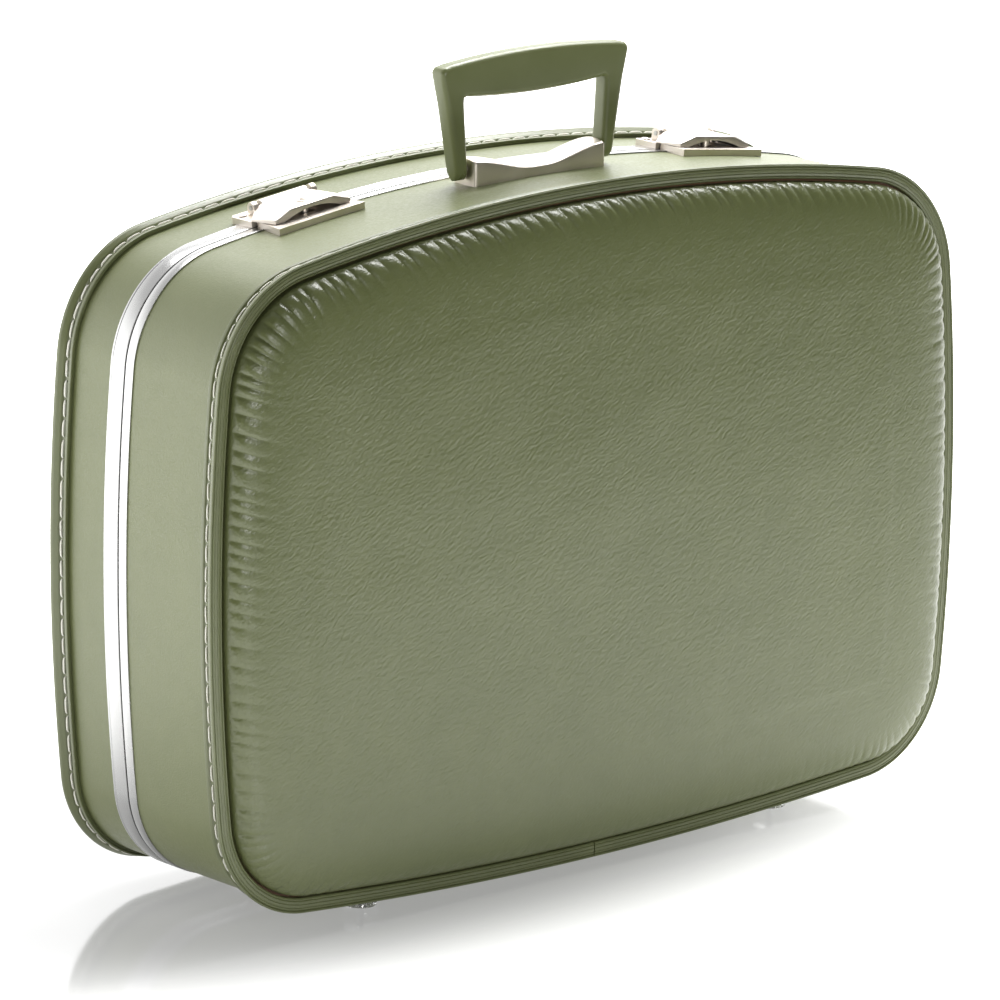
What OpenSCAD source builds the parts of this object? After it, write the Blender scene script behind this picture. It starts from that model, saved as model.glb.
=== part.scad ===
// Weekend suitcase of vinyl over bent ply, with padded front and back panels.
// It stands on its hinge side. +Z is up, +X runs along the width, the padded front
// of the deep half faces -Y and the shallow half, the lid, is on the +Y side.
// The origin is on the ground under the middle of the case.

/* [Case outline] */
// Width over the bindings
case_w = 520; // [420:1:640]
// Height of the crown above the widest level
crown_h = 190; // [150:1:240]
// Depth of the base below the widest level
base_h = 177; // [145:1:220]
// Radius of the bowed ends
end_r = 1150; // [900:10:2500]
// Radius of the crowned top
crown_r = 1123; // [900:1:2500]
// Radius of the bowed base
base_r = 2545; // [1800:5:5000]
// Radius of the two upper corners
top_corner_r = 68; // [60:1:80]
// Radius of the two lower corners
low_corner_r = 60; // [58:1:72]
// Gap between the lowest binding and the ground
ground_gap = 3; // [2.5:0.5:8]

/* [Halves] */
// Depth of the front half from its rim to the parting line
front_d = 81.5; // [70:0.5:130]
// Depth of the lid from its rim to the parting line
lid_d = 52.5; // [48:0.5:80]
// Gap between the two aluminium edges
part_gap = 1; // [0.6:0.1:2]
// Thickness of the ply hoop
hoop_t = 5; // [4.5:0.1:7]
// Thickness of the hardboard panel
board_t = 3; // [2:0.1:4]
// Thickness of the vinyl round the sides
cover_t = 0.9; // [0.6:0.1:1.4]
// Thickness of the lining
lining_t = 0.8; // [0.5:0.1:1.2]

/* [Binding and aluminium] */
// How far the binding stands out from the vinyl
binding_t = 4.5; // [4:0.1:6]
// Width of the binding on the side wall
binding_side = 11; // [9:0.5:15]
// Width of the binding on the front face
binding_face = 8; // [7:0.5:9]
// Width of the aluminium edge of the front half
front_edge_w = 6.5; // [6.5:0.1:9]
// Width of the aluminium edge of the lid
lid_edge_w = 11.5; // [8:0.1:14]
// How far the aluminium stands out from the vinyl
edge_proud = 0.6; // [0.3:0.1:0.9]
// Thickness of the aluminium webs
edge_t = 1.2; // [1:0.1:1.5]
// Reach of the closing tongue past the parting line
tongue_reach = 4; // [3:0.5:5]

/* [Padding] */
// How far the panels stand out in front of the rims
pad_rise = 13.2; // [8:0.1:18]
// Thickness of the panel vinyl
pad_skin = 0.9; // [0.7:0.1:1.2]

/* [Handle] */
// Width over the grip
grip_w = 129; // [110:1:160]
// Width over the feet of the legs
leg_foot_w = 109; // [106:1:116]
// Height from pin to the ends of the grip
grip_h = 56; // [48:1:75]
// Thickness of the grip from front to back
grip_t = 11; // [9:0.5:14]
// Rise of the grip's arch in the middle
grip_arch = 4; // [2:0.5:8]
// Height of the grip at its ends
grip_end_h = 17; // [14:0.5:24]
// Sag of the grip's underside
grip_belly = 2.5; // [1:0.5:5]
// Length of the saddle under the handle
saddle_l = 90; // [80:1:91]
// Depth of the saddle
saddle_d = 17; // [15:0.5:20]
// Height of the saddle's ends
saddle_h = 13; // [12:0.5:16]
// Height of the saddle's waist
saddle_waist = 4; // [3.5:0.5:6]
// Distance from the front rim to the handle's middle
handle_back = 57; // [50:0.5:62]
// Height of the handle pins above the vinyl
pin_h = 7.5; // [7.3:0.1:8.5]
// Radius of the handle pins
handle_pin_r = 2; // [1.5:0.1:2.5]

/* [Latches] */
// Distance from the end of the case to a latch
latch_end = 121; // [118:1:130]
// Half width of a latch at its front
latch_half = 28.5; // [27:0.5:31]
// Thickness of the latch plates
plate_t = 3.3; // [3:0.1:4]
// Reach of the front plate from the parting line
front_plate_d = 22.5; // [21:0.5:26]
// Reach of the lid plate from the parting line
lid_plate_d = 18.5; // [17.5:0.5:21]
// Height of the hasp's ridge above the vinyl
hasp_top = 9.4; // [9:0.1:11]
// Radius of the lock plug
plug_r = 3.2; // [2.8:0.1:3.6]

/* [Hinges and feet] */
// Distance from the end of the case to the middle of a hinge
hinge_end = 175; // [165:1:180]
// Length of a hinge
hinge_w = 36; // [30:1:42]
// Reach of a hinge leaf from the parting line
leaf_d = 24; // [20:0.5:27]
// Radius of a hinge barrel
barrel_r = 2.3; // [2:0.1:2.3]
// Distance from the end of the case to a foot
foot_end = 115; // [110:1:120]
// Radius of a foot
foot_r = 9; // [7:0.5:10]

/* [Hidden] */
$fn = 48;

// levels
mid_z = ground_gap + base_h;
rim_y = (front_d + lid_d) / 2;
part_y = front_d - rim_y;
// insets from the binding's outer face
in_wall = binding_t;
in_hoop = in_wall + cover_t;
in_bare = in_hoop + hoop_t;
in_edge = in_wall - edge_proud;
fit = 0.3;
in_lining = in_bare + fit;
shell_t = in_bare - in_wall;
// depths from a rim plane
glue_gap = 0.2;
touch_gap = 0.1;
d_board = binding_t + fit;
d_hoop = d_board + board_t + glue_gap;
edge_lip = 6;
// closing tongue and its groove
tongue_in = 1.8;
in_tongue = in_hoop + tongue_in;
tongue_t = 1.2;
tongue_slack = 0.8;
groove_deeper = 1.5;
groove_lower = 2.5;
tongue_z = mid_z - base_h / 2;
// pad
pad_gap = 1.5;
// handle
handle_y = handle_back - rim_y;
wall_top = mid_z + crown_h - in_wall;
pin_z = wall_top + pin_h;
pin_slack = 0.05;
pin_head = 1.3;
pin_head_t = 0.9;
pin_recess = 1;
leg_gap = 1.5;
leg_flare = 2.5;
grip_ease = 1.5;
saddle_root = 6;
saddle_crown = 2;
leg_w = leg_foot_w / 2 - saddle_l / 2 - leg_gap;
pin_grip = 5;
leg_r = grip_t / 2;
screw_r = 1.6;
screw_x = saddle_l / 4;
// latches
latch_x = case_w / 2 - latch_end;
latch_tilt = asin(latch_x / (crown_r - in_wall));
hasp_back = 9.5;
hasp_y = part_y + hasp_back;
hasp_h = 7.4;
hasp_pin_r = 1.25;
knuckle_r = 3;
knuckle_half = 15.5;
ear_in = 18;
ear_out = 21;
plug_front = 7.2;
plug_y = part_y - plug_front;
plate_root = 2;
plate_taper = 3;
plate_corner = 2;
rivet_r = 1.5;
rivet_head = 2.8;
rivet_head_t = 1.2;
rivet_tail = 0.2;
bore_slack = 0.1;
bed_gap = 0.2;
// hinges and feet
hinge_x = case_w / 2 - hinge_end;
hinge_far = hinge_x + hinge_w / 2;
hinge_rise = 2;
hinge_z = ground_gap + hinge_rise;
// the knuckles' webs reach up to the vinyl, which the bowed base lifts at a hinge's far end
leaf_web_h = in_wall - hinge_rise + base_r - sqrt(base_r * base_r - hinge_far * hinge_far);
hinge_pin_r = 1;
leaf_t = 1.2;
leaf_gap = 2.2;
leaf_web = 1.5;
leaf_rivet_in = 5;
leaf_rivet_end = 7.4;
leaf_head_t = 0.6;
foot_x = case_w / 2 - foot_end;
foot_back = binding_side + foot_r;
nail_r = 1.2;
nail_head = 3;
nail_head_t = 0.8;
nail_bow = 3;
nail_top = ground_gap + in_bare + nail_bow;
nail_end_gap = 0.2;
// how far a cutting shape runs past what it cuts
over = 1;
small = 0.01;
// points along a quarter of the case's arcs, along a pad's, and along a shallow arc
curve_n = 4;
pad_n = 3;
arc_n = 16;

// ---- outline of the case: six arcs of large radius and four corner arcs ----
end_c = [case_w / 2 - end_r, 0];
crown_c = [0, crown_h - crown_r];
base_c = [0, base_r - base_h];
// the point at distance rp from p and rq from q, on the side that turn points to
function meet(p, rp, q, rq, turn) =
  let (d = norm(q - p), u = (q - p) / d, t = (rp * rp - rq * rq + d * d) / (2 * d))
  p + t * u + turn * sqrt(rp * rp - t * t) * [-u[1], u[0]];
top_c = meet(end_c, end_r - top_corner_r, crown_c, crown_r - top_corner_r, 1);
low_c = meet(end_c, end_r - low_corner_r, base_c, base_r - low_corner_r, -1);
function heading(p, q) = atan2(q[1] - p[1], q[0] - p[0]);
function arc(c, r, a, b, n) = [for (k = [0:n - 1]) let (t = a + (b - a) * k / n) c + r * [cos(t), sin(t)]];
function right_side(i, n) = concat(
  arc(base_c, base_r - i, -90, heading(base_c, low_c), n),
  arc(low_c, low_corner_r - i, heading(base_c, low_c), heading(end_c, low_c), 2 * n),
  arc(end_c, end_r - i, heading(end_c, low_c), heading(end_c, top_c), n + 2),
  arc(top_c, top_corner_r - i, heading(end_c, top_c), heading(crown_c, top_c), 2 * n),
  arc(crown_c, crown_r - i, heading(crown_c, top_c), 90, n + 2),
  [[0, crown_h - i]]);
function outline(i, n = curve_n) =
  let (r = right_side(i, n), last = len(r) - 1)
  concat(r, [for (k = [1:last - 1]) [-r[last - k][0], r[last - k][1]]]);

// a slab of the given 2D shape (x and height) between two depths y
module slab(y0, y1)
  translate([0, y1, mid_z]) rotate([90, 0, 0]) linear_extrude(y1 - y0) children();
module filled(i, y0, y1, n = curve_n)
  slab(y0, y1) polygon(outline(i, n));
module band(i0, i1, y0, y1)
  slab(y0, y1) difference() {
    polygon(outline(i0));
    polygon(outline(i1));
  }
// children are drawn with y counted inwards from the rim plane
module front_half() translate([0, -rim_y, 0]) children();
module lid_half() translate([0, rim_y, 0]) mirror([0, 1, 0]) children();
module both_x(x) for (s = [-1, 1]) translate([s * x, 0, 0]) children();

// ---- pieces that both halves share, for a half of depth d ----
module hoop(d) band(in_hoop, in_bare, d_hoop, d - part_gap / 2 - edge_t - touch_gap);
module side_cover(d, edge_w) band(in_wall, in_hoop, d_board, d - part_gap / 2 - edge_w);
module board() filled(in_hoop, d_board, d_board + board_t);
module binding() {
  band(0, in_wall, 0, binding_side);
  band(0, binding_face, 0, binding_t);
}
module edge(d, edge_w) {
  y1 = d - part_gap / 2;
  band(in_edge, in_hoop, y1 - edge_w, y1);
  band(in_edge, in_lining + edge_t, y1 - edge_t, y1);
  band(in_lining, in_lining + edge_t, y1 - edge_lip, y1);
}
module lining(d) {
  band(in_lining, in_lining + lining_t, d_hoop, d - part_gap / 2 - edge_lip - fit);
  filled(in_lining, d_hoop, d_hoop + lining_t);
}
// crowned pad: rings at growing insets and rises, c is how far inside the skin it lies
pad_root = binding_face + pad_gap;
pad_base = 0.1;
pad_flat = 0.6;
pad_steps = [[1, 0.24], [3.5, 0.46], [8, 0.65], [15.5, 0.8], [28.5, 0.91], [42, 0.97]];
module pad(c) hull() {
  filled(pad_root + c, pad_base * pad_rise + c, d_board - glue_gap, pad_n);
  for (s = pad_steps) {
    rise = s[1] * pad_rise - c;
    filled(pad_root + c + s[0], -rise, small - rise, pad_n);
  }
  translate([0, 0, mid_z * (1 - pad_flat)]) scale([pad_flat, 1, pad_flat])
    filled(pad_root, c - pad_rise, c - pad_rise + small, pad_n);
}
module pad_cover() difference() {
  pad(0);
  intersection() {
    pad(pad_skin);
    translate([-case_w, -pad_rise, 0]) cube([2 * case_w, pad_rise + d_board - glue_gap, 2 * mid_z + crown_h]);
  }
}
module tongue_band(i, t, y0, y1, z)
  intersection() {
    band(i, i + t, y0, y1);
    translate([-case_w, y0 - over, z]) cube([2 * case_w, y1 - y0 + 2 * over, mid_z + crown_h]);
  }
module tongue()
  tongue_band(in_tongue, tongue_t, front_d - part_gap / 2 - small, front_d + tongue_reach, tongue_z);
module groove()
  tongue_band(in_tongue - tongue_slack, tongue_t + 2 * tongue_slack,
    lid_d - tongue_reach - groove_deeper, lid_d, tongue_z - groove_lower);

// ---- front half ----
module front_hoop() color("burlywood") difference() {
  front_half() hoop(front_d);
  front_fixings(rivet_r + bore_slack, nail_r + bore_slack);
}
module front_side_cover() color([0.61, 0.66, 0.48]) difference() {
  front_half() side_cover(front_d, front_edge_w);
  front_fixings(rivet_r + bore_slack, nail_r + bore_slack);
}
module front_board() color("saddlebrown") front_half() board();
module front_pad_foam() color("khaki") front_half() pad(pad_skin + touch_gap);
module front_pad_cover() color([0.42, 0.46, 0.3]) front_half() pad_cover();
module front_binding() color([0.5, 0.54, 0.38]) front_half() binding();
module front_edge() color("gainsboro") difference() {
  front_half() {
    edge(front_d, front_edge_w);
    tongue();
  }
  front_fixings(rivet_r + bore_slack, nail_r + bore_slack);
}
module front_lining() color("tan") front_half() lining(front_d);
module front_feet() color("whitesmoke") foot_pair(foot_back - rim_y);
module front_foot_nails() color("silver") nail_pair(foot_back - rim_y);

// ---- lid ----
module lid_hoop() color("burlywood") difference() {
  lid_half() hoop(lid_d);
  lid_half() groove();
  lid_fixings(rivet_r + bore_slack, nail_r + bore_slack);
}
module lid_side_cover() color([0.61, 0.66, 0.48]) difference() {
  lid_half() side_cover(lid_d, lid_edge_w);
  lid_fixings(rivet_r + bore_slack, nail_r + bore_slack);
}
module lid_board() color("saddlebrown") lid_half() board();
module lid_pad_foam() color("khaki") lid_half() pad(pad_skin + touch_gap);
module lid_pad_cover() color([0.42, 0.46, 0.3]) lid_half() pad_cover();
module lid_binding() color([0.5, 0.54, 0.38]) lid_half() binding();
module lid_edge() color("gainsboro") difference() {
  lid_half() edge(lid_d, lid_edge_w);
  lid_half() groove();
  lid_fixings(rivet_r + bore_slack, nail_r + bore_slack);
}
module lid_lining() color("tan") lid_half() lining(lid_d);
// cloth pocket on the inside of the lid, its elastic mouth upwards
pocket_t = 7;
pocket_end = 65;
pocket_low = 34;
pocket_side = 6;
pocket_w = case_w - 2 * pocket_end;
module lid_pocket() color("wheat") intersection() {
  translate([-pocket_w / 2, rim_y - d_hoop - lining_t - fit - pocket_t, mid_z - base_h + pocket_low])
    cube([pocket_w, pocket_t, base_h]);
  lid_half() filled(in_lining + lining_t + pocket_side, 0, lid_d);
}
module lid_feet() color("whitesmoke") foot_pair(rim_y - foot_back);
module lid_foot_nails() color("silver") nail_pair(rim_y - foot_back);

// ---- feet: clear plastic buttons nailed to the base ----
module foot_pair(y) difference() {
  both_x(foot_x) translate([0, y, 0]) rotate_extrude() polygon(foot_profile());
  filled(in_wall, y - 2 * foot_r, y + 2 * foot_r);
  both_x(foot_x) translate([0, y, -over]) cylinder(r = nail_r + bore_slack, h = 2 * foot_tall);
}
foot_tall = 20;
foot_sink = 1.6;
foot_lip = 2;
foot_ease = 0.6;
dish_r = nail_head + 1;
dish_slope = 0.4;
function foot_profile() = [[0, foot_sink], [dish_r, foot_sink], [dish_r + dish_slope, 0],
  [foot_r - foot_lip, 0], [foot_r - foot_ease, foot_ease], [foot_r, foot_lip],
  [foot_r, foot_tall], [0, foot_tall]];
module nail_pair(y) both_x(foot_x) translate([0, y, foot_sink - nail_head_t]) {
  cylinder(r = nail_head, h = nail_head_t);
  cylinder(r = nail_r, h = nail_top - foot_sink + nail_head_t);
}
module nail_shafts(y, r)
  both_x(foot_x) translate([0, y, foot_sink]) cylinder(r = r, h = nail_top - foot_sink + nail_end_gap);

// ---- handle ----
// a straight-sided frame seen from the front: legs that widen upwards and a crowned grip
function sag_arc(x, rise, n = arc_n) =
  let (r = (x * x + rise * rise) / (2 * rise), a = asin(x / r))
  [for (k = [0:n]) let (t = a - 2 * a * k / n) [r * sin(t), r * cos(t) - r + rise]];
module grip_outline() {
  top_half = grip_w / 2;
  foot_half = leg_foot_w / 2;
  inner_foot = foot_half - leg_w;
  inner_top = inner_foot + leg_flare;
  under = grip_h - grip_end_h;
  polygon(concat(
    [[-foot_half, 0], [-inner_foot, 0]],
    [for (p = sag_arc(inner_top, grip_belly)) [-p[0], under - p[1]]],
    [[inner_foot, 0], [foot_half, 0]],
    [for (p = sag_arc(top_half, grip_arch)) [p[0], grip_h + p[1]]]));
}
module grip_side() {
  circle(r = leg_r);
  translate([-leg_r, 0]) square([grip_t, grip_h + grip_arch + over - leg_r]);
  translate([grip_ease - leg_r, 0]) square([grip_t - 2 * grip_ease, grip_h + grip_arch + over]);
}
module handle_grip() color([0.42, 0.46, 0.28]) translate([0, handle_y, pin_z]) difference() {
  intersection() {
    union() {
      translate([0, grip_t, 0]) rotate([90, 0, 0]) linear_extrude(2 * grip_t) grip_outline();
      for (s = [-1, 1])
        translate([s > 0 ? leg_foot_w / 2 - leg_w : -leg_foot_w / 2, 0, 0])
          rotate([0, 90, 0]) cylinder(r = leg_r, h = leg_w);
    }
    rotate([90, 0, 90]) translate([0, 0, -grip_w]) linear_extrude(2 * grip_w) grip_side();
  }
  rotate([0, 90, 0]) cylinder(r = handle_pin_r + pin_slack, h = grip_w, center = true);
  both_ends() translate([leg_foot_w / 2 - pin_recess, 0, 0]) rotate([0, 90, 0])
    cylinder(r = handle_pin_r + pin_head + fit, h = 2 * pin_grip);
}
module handle_pins() color("silver") translate([0, handle_y, pin_z]) both_ends() {
  translate([saddle_l / 2 - pin_grip, 0, 0]) rotate([0, 90, 0])
    cylinder(r = handle_pin_r, h = leg_foot_w / 2 - saddle_l / 2 + pin_grip - pin_head_t / 2);
  translate([leg_foot_w / 2 - pin_recess + pin_slack, 0, 0]) rotate([0, 90, 0])
    cylinder(r = handle_pin_r + pin_head, h = pin_head_t);
}
module both_ends() {
  children();
  mirror([1, 0, 0]) children();
}
// saddle: one casting, low at the waist, high at the pins and crowned from front to back
module saddle_front() {
  x = saddle_l / 2;
  polygon(concat([[-x, -saddle_root], [x, -saddle_root]],
    [for (p = sag_arc(x, saddle_h - saddle_waist)) [p[0], saddle_h - p[1]]]));
}
module saddle_side() {
  x = saddle_d / 2;
  polygon(concat([[-x, -saddle_root], [x, -saddle_root]],
    [for (p = sag_arc(x, saddle_crown)) [p[0], saddle_h - saddle_crown + p[1]]]));
}
module saddle_body() intersection() {
  translate([0, saddle_d, 0]) rotate([90, 0, 0]) linear_extrude(2 * saddle_d) saddle_front();
  rotate([90, 0, 90]) translate([0, 0, -saddle_l]) linear_extrude(2 * saddle_l) saddle_side();
}
module handle_saddle() color("antiquewhite") difference() {
  translate([0, handle_y, wall_top]) saddle_body();
  handle_screw_shafts(screw_r + bore_slack);
  filled(in_wall, handle_y - saddle_d, handle_y + saddle_d);
  translate([0, handle_y, pin_z]) both_ends() translate([saddle_l / 2 - pin_grip - over, 0, 0])
    rotate([0, 90, 0]) cylinder(r = handle_pin_r + pin_slack, h = 2 * pin_grip);
}
// screws driven from inside the case, their heads let into the ply
screw_low = wall_top - shell_t - touch_gap;
screw_head = 3;
screw_head_t = 1.5;
screw_reach = 2.6;
screw_end_gap = 0.2;
module handle_screws() color("silver") both_x(screw_x) translate([0, handle_y, screw_low]) {
  cylinder(r = screw_head, h = screw_head_t);
  cylinder(r = screw_r, h = shell_t + screw_reach);
}
module handle_screw_shafts(r) both_x(screw_x) translate([0, handle_y, screw_low - over]) {
  cylinder(r = screw_head + bore_slack, h = screw_head_t + over + bore_slack);
  cylinder(r = r, h = shell_t + screw_reach + over + screw_end_gap);
}

// ---- latches: each is set out on the crown, u along it and h above the vinyl ----
module at_latch(side)
  translate([0, 0, mid_z + crown_c[1]]) rotate([0, side * latch_tilt, 0])
    translate([0, 0, crown_r - in_wall]) children();
module at_both_latches() {
  at_latch(-1) children();
  at_latch(1) children();
}
// what plates and hinges sit on: vinyl, and the aluminium that stands out from it
module case_bed() {
  filled(in_wall, -rim_y, rim_y);
  filled(in_edge, part_y - part_gap / 2 - front_edge_w - bed_gap,
    part_y + part_gap / 2 + lid_edge_w + bed_gap);
}
module plate(pts) translate([0, 0, -plate_root]) linear_extrude(plate_t + plate_root) polygon(pts);
module base_rivet(r)
  translate([0, 0, -shell_t - rivet_tail])
    cylinder(r = r, h = shell_t + rivet_tail + plate_t - rivet_head_t);
latch_rivet_x = 20;
latch_rivet_in = 6;
module latch_rivet_places()
  both_x(latch_rivet_x) translate([0, part_y - front_plate_d + latch_rivet_in, 0]) children();
hasp_rivet_x = 24.3;
hasp_rivet_in = 5;
module hasp_rivet_places()
  both_x(hasp_rivet_x) translate([0, part_y + lid_plate_d - hasp_rivet_in, 0]) children();
// the plate is slotted for the plug and hollowed for its cam
slot_side = 1.6;
slot_end = 1.2;
cam_floor = 0.7;
cam_room = 1.5;
cam_low = 1;
cam_t = 1;
cam_half = 2;
cam_reach = 3.2;
module latch_plate(side) color("antiquewhite") difference() {
  at_latch(side) difference() {
    plate([[-latch_half, part_y - front_plate_d], [latch_half, part_y - front_plate_d],
      [latch_half - plate_taper, part_y - fit], [plate_taper - latch_half, part_y - fit]]);
    translate([-plug_r - slot_side, plug_y - plug_r - slot_end, cam_floor])
      cube([2 * (plug_r + slot_side), front_plate_d, plate_t]);
    translate([0, plug_y, cam_floor]) cylinder(r = plug_r + cam_reach + over, h = cam_room);
    latch_rivet_places() {
      base_rivet(rivet_r + bore_slack);
      translate([0, 0, plate_t - rivet_head_t]) cylinder(r = rivet_head + bore_slack, h = plate_t);
    }
  }
  case_bed();
}
module latch_plate_left() latch_plate(-1);
module latch_plate_right() latch_plate(1);
module latch_plate_rivets() color("silver") at_both_latches() latch_rivet_places() {
  base_rivet(rivet_r);
  translate([0, 0, plate_t - rivet_head_t]) cylinder(r = rivet_head, h = rivet_head_t - bore_slack);
}
module hasp_pin_bore() translate([0, hasp_y, hasp_h]) rotate([0, 90, 0])
  cylinder(r = hasp_pin_r + pin_slack, h = 2 * latch_half, center = true);
module hasp_plate(side) color("antiquewhite") difference() {
  at_latch(side) difference() {
    union() {
      plate([[-latch_half, part_y + fit], [latch_half, part_y + fit],
        [latch_half, part_y + lid_plate_d - plate_corner],
        [latch_half - plate_corner, part_y + lid_plate_d],
        [plate_corner - latch_half, part_y + lid_plate_d],
        [-latch_half, part_y + lid_plate_d - plate_corner]]);
      for (s = [-1, 1]) translate([s > 0 ? ear_in : -ear_out, hasp_y, 0]) {
        translate([0, 0, hasp_h]) rotate([0, 90, 0]) cylinder(r = knuckle_r, h = ear_out - ear_in);
        translate([0, -knuckle_r, plate_t - over])
          cube([ear_out - ear_in, 2 * knuckle_r, hasp_h - plate_t + over]);
      }
    }
    hasp_pin_bore();
    hasp_rivet_places() base_rivet(rivet_r + bore_slack);
    hasp_rivet_places() translate([0, 0, plate_t - rivet_head_t - small])
      cylinder(r = rivet_r + bore_slack, h = plate_t);
  }
  case_bed();
}
module hasp_plate_left() hasp_plate(-1);
module hasp_plate_right() hasp_plate(1);
module hasp_plate_rivets() color("silver") at_both_latches() hasp_rivet_places() {
  base_rivet(rivet_r);
  translate([0, 0, plate_t - rivet_head_t - small]) cylinder(r = rivet_r, h = rivet_head_t + 2 * small);
  translate([0, 0, plate_t]) rotate_extrude()
    polygon([[0, 0], for (a = [0:30:90]) [rivet_head * cos(a), rivet_head_t * sin(a)]]);
}
module hasp_pin(side) color("silver") at_latch(side) translate([0, hasp_y, hasp_h]) rotate([0, 90, 0])
  cylinder(r = hasp_pin_r, h = 2 * (ear_out + fit), center = true);
module hasp_pin_left() hasp_pin(-1);
module hasp_pin_right() hasp_pin(1);
// leaf spring on the lid plate, turned up at its front
spring_w = 12;
spring_in = 1.2;
spring_back = 1.8;
spring_t = 0.5;
spring_up = 1.6;
module hasp_spring(side) color("goldenrod") at_latch(side)
  translate([-spring_w / 2, part_y + spring_in, plate_t + pin_slack]) {
    cube([spring_w, lid_plate_d - spring_in - spring_back, spring_t]);
    cube([spring_w, spring_t, spring_up]);
  }
module hasp_spring_left() hasp_spring(-1);
module hasp_spring_right() hasp_spring(1);
// hasp: arched lever over the parting line with a finger arch at its front
hasp_low = plate_t + fit;
hasp_short = 7;
hasp_front = part_y - front_plate_d + hasp_short;
hasp_edge = 1;
nose_in = 3.5;
wing_front = 9;
wing_in = 7;
web_d = 1.5;
web_drop = 0.8;
web_t = 2.2;
hollow_half = 18.5;
hollow_roof = 2.6;
hollow_drop = 0.4;
panel_half = 14.3;
panel_in = 1.2;
panel_t = 1.6;
panel_proud = 0.5;
panel_back = 2.3;
module hasp_arch() {
  rise = hasp_top - panel_proud - hasp_low - hasp_edge;
  polygon(concat([[-latch_half, hasp_low], [latch_half, hasp_low]],
    [for (p = sag_arc(latch_half, rise)) [p[0], hasp_low + hasp_edge + p[1]]]));
}
module hasp_hollow()
  polygon([for (p = sag_arc(hollow_half, hasp_top - hollow_roof - hasp_low))
    [p[0], hasp_low - hollow_drop + p[1]]]);
module hasp(side) color("antiquewhite") at_latch(side) difference() {
  union() {
    intersection() {
      translate([0, hasp_y, 0]) rotate([90, 0, 0]) linear_extrude(hasp_y - hasp_front + over) hasp_arch();
      linear_extrude(2 * hasp_top) polygon([
        [nose_in - latch_half, hasp_front], [latch_half - nose_in, hasp_front],
        [latch_half, hasp_y - wing_front], [latch_half - wing_in, hasp_y - knuckle_r - 2 * fit],
        [wing_in - latch_half, hasp_y - knuckle_r - 2 * fit], [-latch_half, hasp_y - wing_front]]);
    }
    translate([-panel_half, hasp_front + panel_in, hasp_top - panel_t])
      cube([2 * panel_half, hasp_y - hasp_front - panel_in - knuckle_r - panel_back, panel_t]);
    translate([0, hasp_y, hasp_h]) rotate([0, 90, 0])
      cylinder(r = knuckle_r, h = 2 * knuckle_half, center = true);
    translate([-knuckle_half, hasp_y - knuckle_r - web_d, hasp_h - web_drop])
      cube([2 * knuckle_half, knuckle_r + web_d, web_t]);
  }
  translate([0, hasp_y - knuckle_r - fit, 0]) rotate([90, 0, 0])
    linear_extrude(hasp_y - hasp_front) hasp_hollow();
  hasp_pin_bore();
  translate([0, plug_y, -over]) cylinder(r = plug_r + pin_slack, h = 2 * hasp_top);
}
module hasp_left() hasp(-1);
module hasp_right() hasp(1);
// lock plug with a key slot above and a turning cam below
key_t = 1.2;
key_l = 3.6;
key_r = 1.1;
key_deep = 3;
module lock_plug(side) color("lightgray") at_latch(side) translate([0, plug_y, 0]) difference() {
  union() {
    translate([0, 0, cam_low]) cylinder(r = plug_r, h = hasp_top - cam_low - bore_slack);
    translate([-cam_half, 0, cam_low]) cube([2 * cam_half, plug_r + cam_reach, cam_t]);
  }
  translate([-key_t / 2, -key_l / 2, hasp_top - key_deep]) cube([key_t, key_l, key_deep]);
  translate([0, key_l / 3, hasp_top - key_deep]) cylinder(r = key_r, h = key_deep);
}
module lock_plug_left() lock_plug(-1);
module lock_plug_right() lock_plug(1);

// ---- hinges under the base ----
knuckle_n = 5;
knuckle_l = hinge_w / knuckle_n;
module leaf_pair(sign, first) difference() {
  y_far = part_y + sign * leaf_d;
  y_near = part_y + sign * leaf_gap;
  union() {
    intersection() {
      band(in_edge - leaf_t, in_wall, min(y_far, y_near), max(y_far, y_near));
      both_x(hinge_x) translate([-hinge_w / 2, -rim_y, 0]) cube([hinge_w, 2 * rim_y, mid_z / 2]);
    }
    for (k = [first:2:knuckle_n - 1])
      both_x(hinge_x) translate([k * knuckle_l - hinge_w / 2 + fit / 2, part_y, hinge_z]) {
        rotate([0, 90, 0]) cylinder(r = barrel_r, h = knuckle_l - fit);
        translate([0, sign > 0 ? 0 : -leaf_gap - leaf_web, 0])
          cube([knuckle_l - fit, leaf_gap + leaf_web, leaf_web_h]);
      }
  }
  case_bed();
  translate([0, part_y, hinge_z]) rotate([0, 90, 0])
    cylinder(r = hinge_pin_r + pin_slack, h = case_w, center = true);
  hinge_rivet_shafts(sign, rivet_r + bore_slack);
}
module hinge_leaves_front() color("silver") leaf_pair(-1, 0);
module hinge_leaves_lid() color("silver") leaf_pair(1, 1);
module hinge_pins() color("gray") both_x(hinge_x) translate([0, part_y, hinge_z]) rotate([0, 90, 0])
  cylinder(r = hinge_pin_r, h = hinge_w + 1, center = true);
module hinge_rivet_places(sign) both_x(hinge_x) both_x(hinge_w / 2 - leaf_rivet_end)
  translate([0, part_y + sign * (leaf_d - leaf_rivet_in), 0]) children();
module hinge_rivet_shafts(sign, r) hinge_rivet_places(sign) cylinder(r = r, h = 2 * in_bare);
module hinge_rivets(sign) {
  low = ground_gap + in_edge - leaf_t;
  difference() {
    hinge_rivet_places(sign) translate([0, 0, low]) cylinder(r = rivet_r, h = 2 * in_bare);
    filled(in_bare + rivet_tail, -rim_y, rim_y);
  }
  hinge_rivet_places(sign) translate([0, 0, low - leaf_head_t])
    cylinder(r = rivet_head - fit, h = leaf_head_t + bore_slack);
}
module hinge_rivets_front() color("silver") hinge_rivets(-1);
module hinge_rivets_lid() color("silver") hinge_rivets(1);

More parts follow.
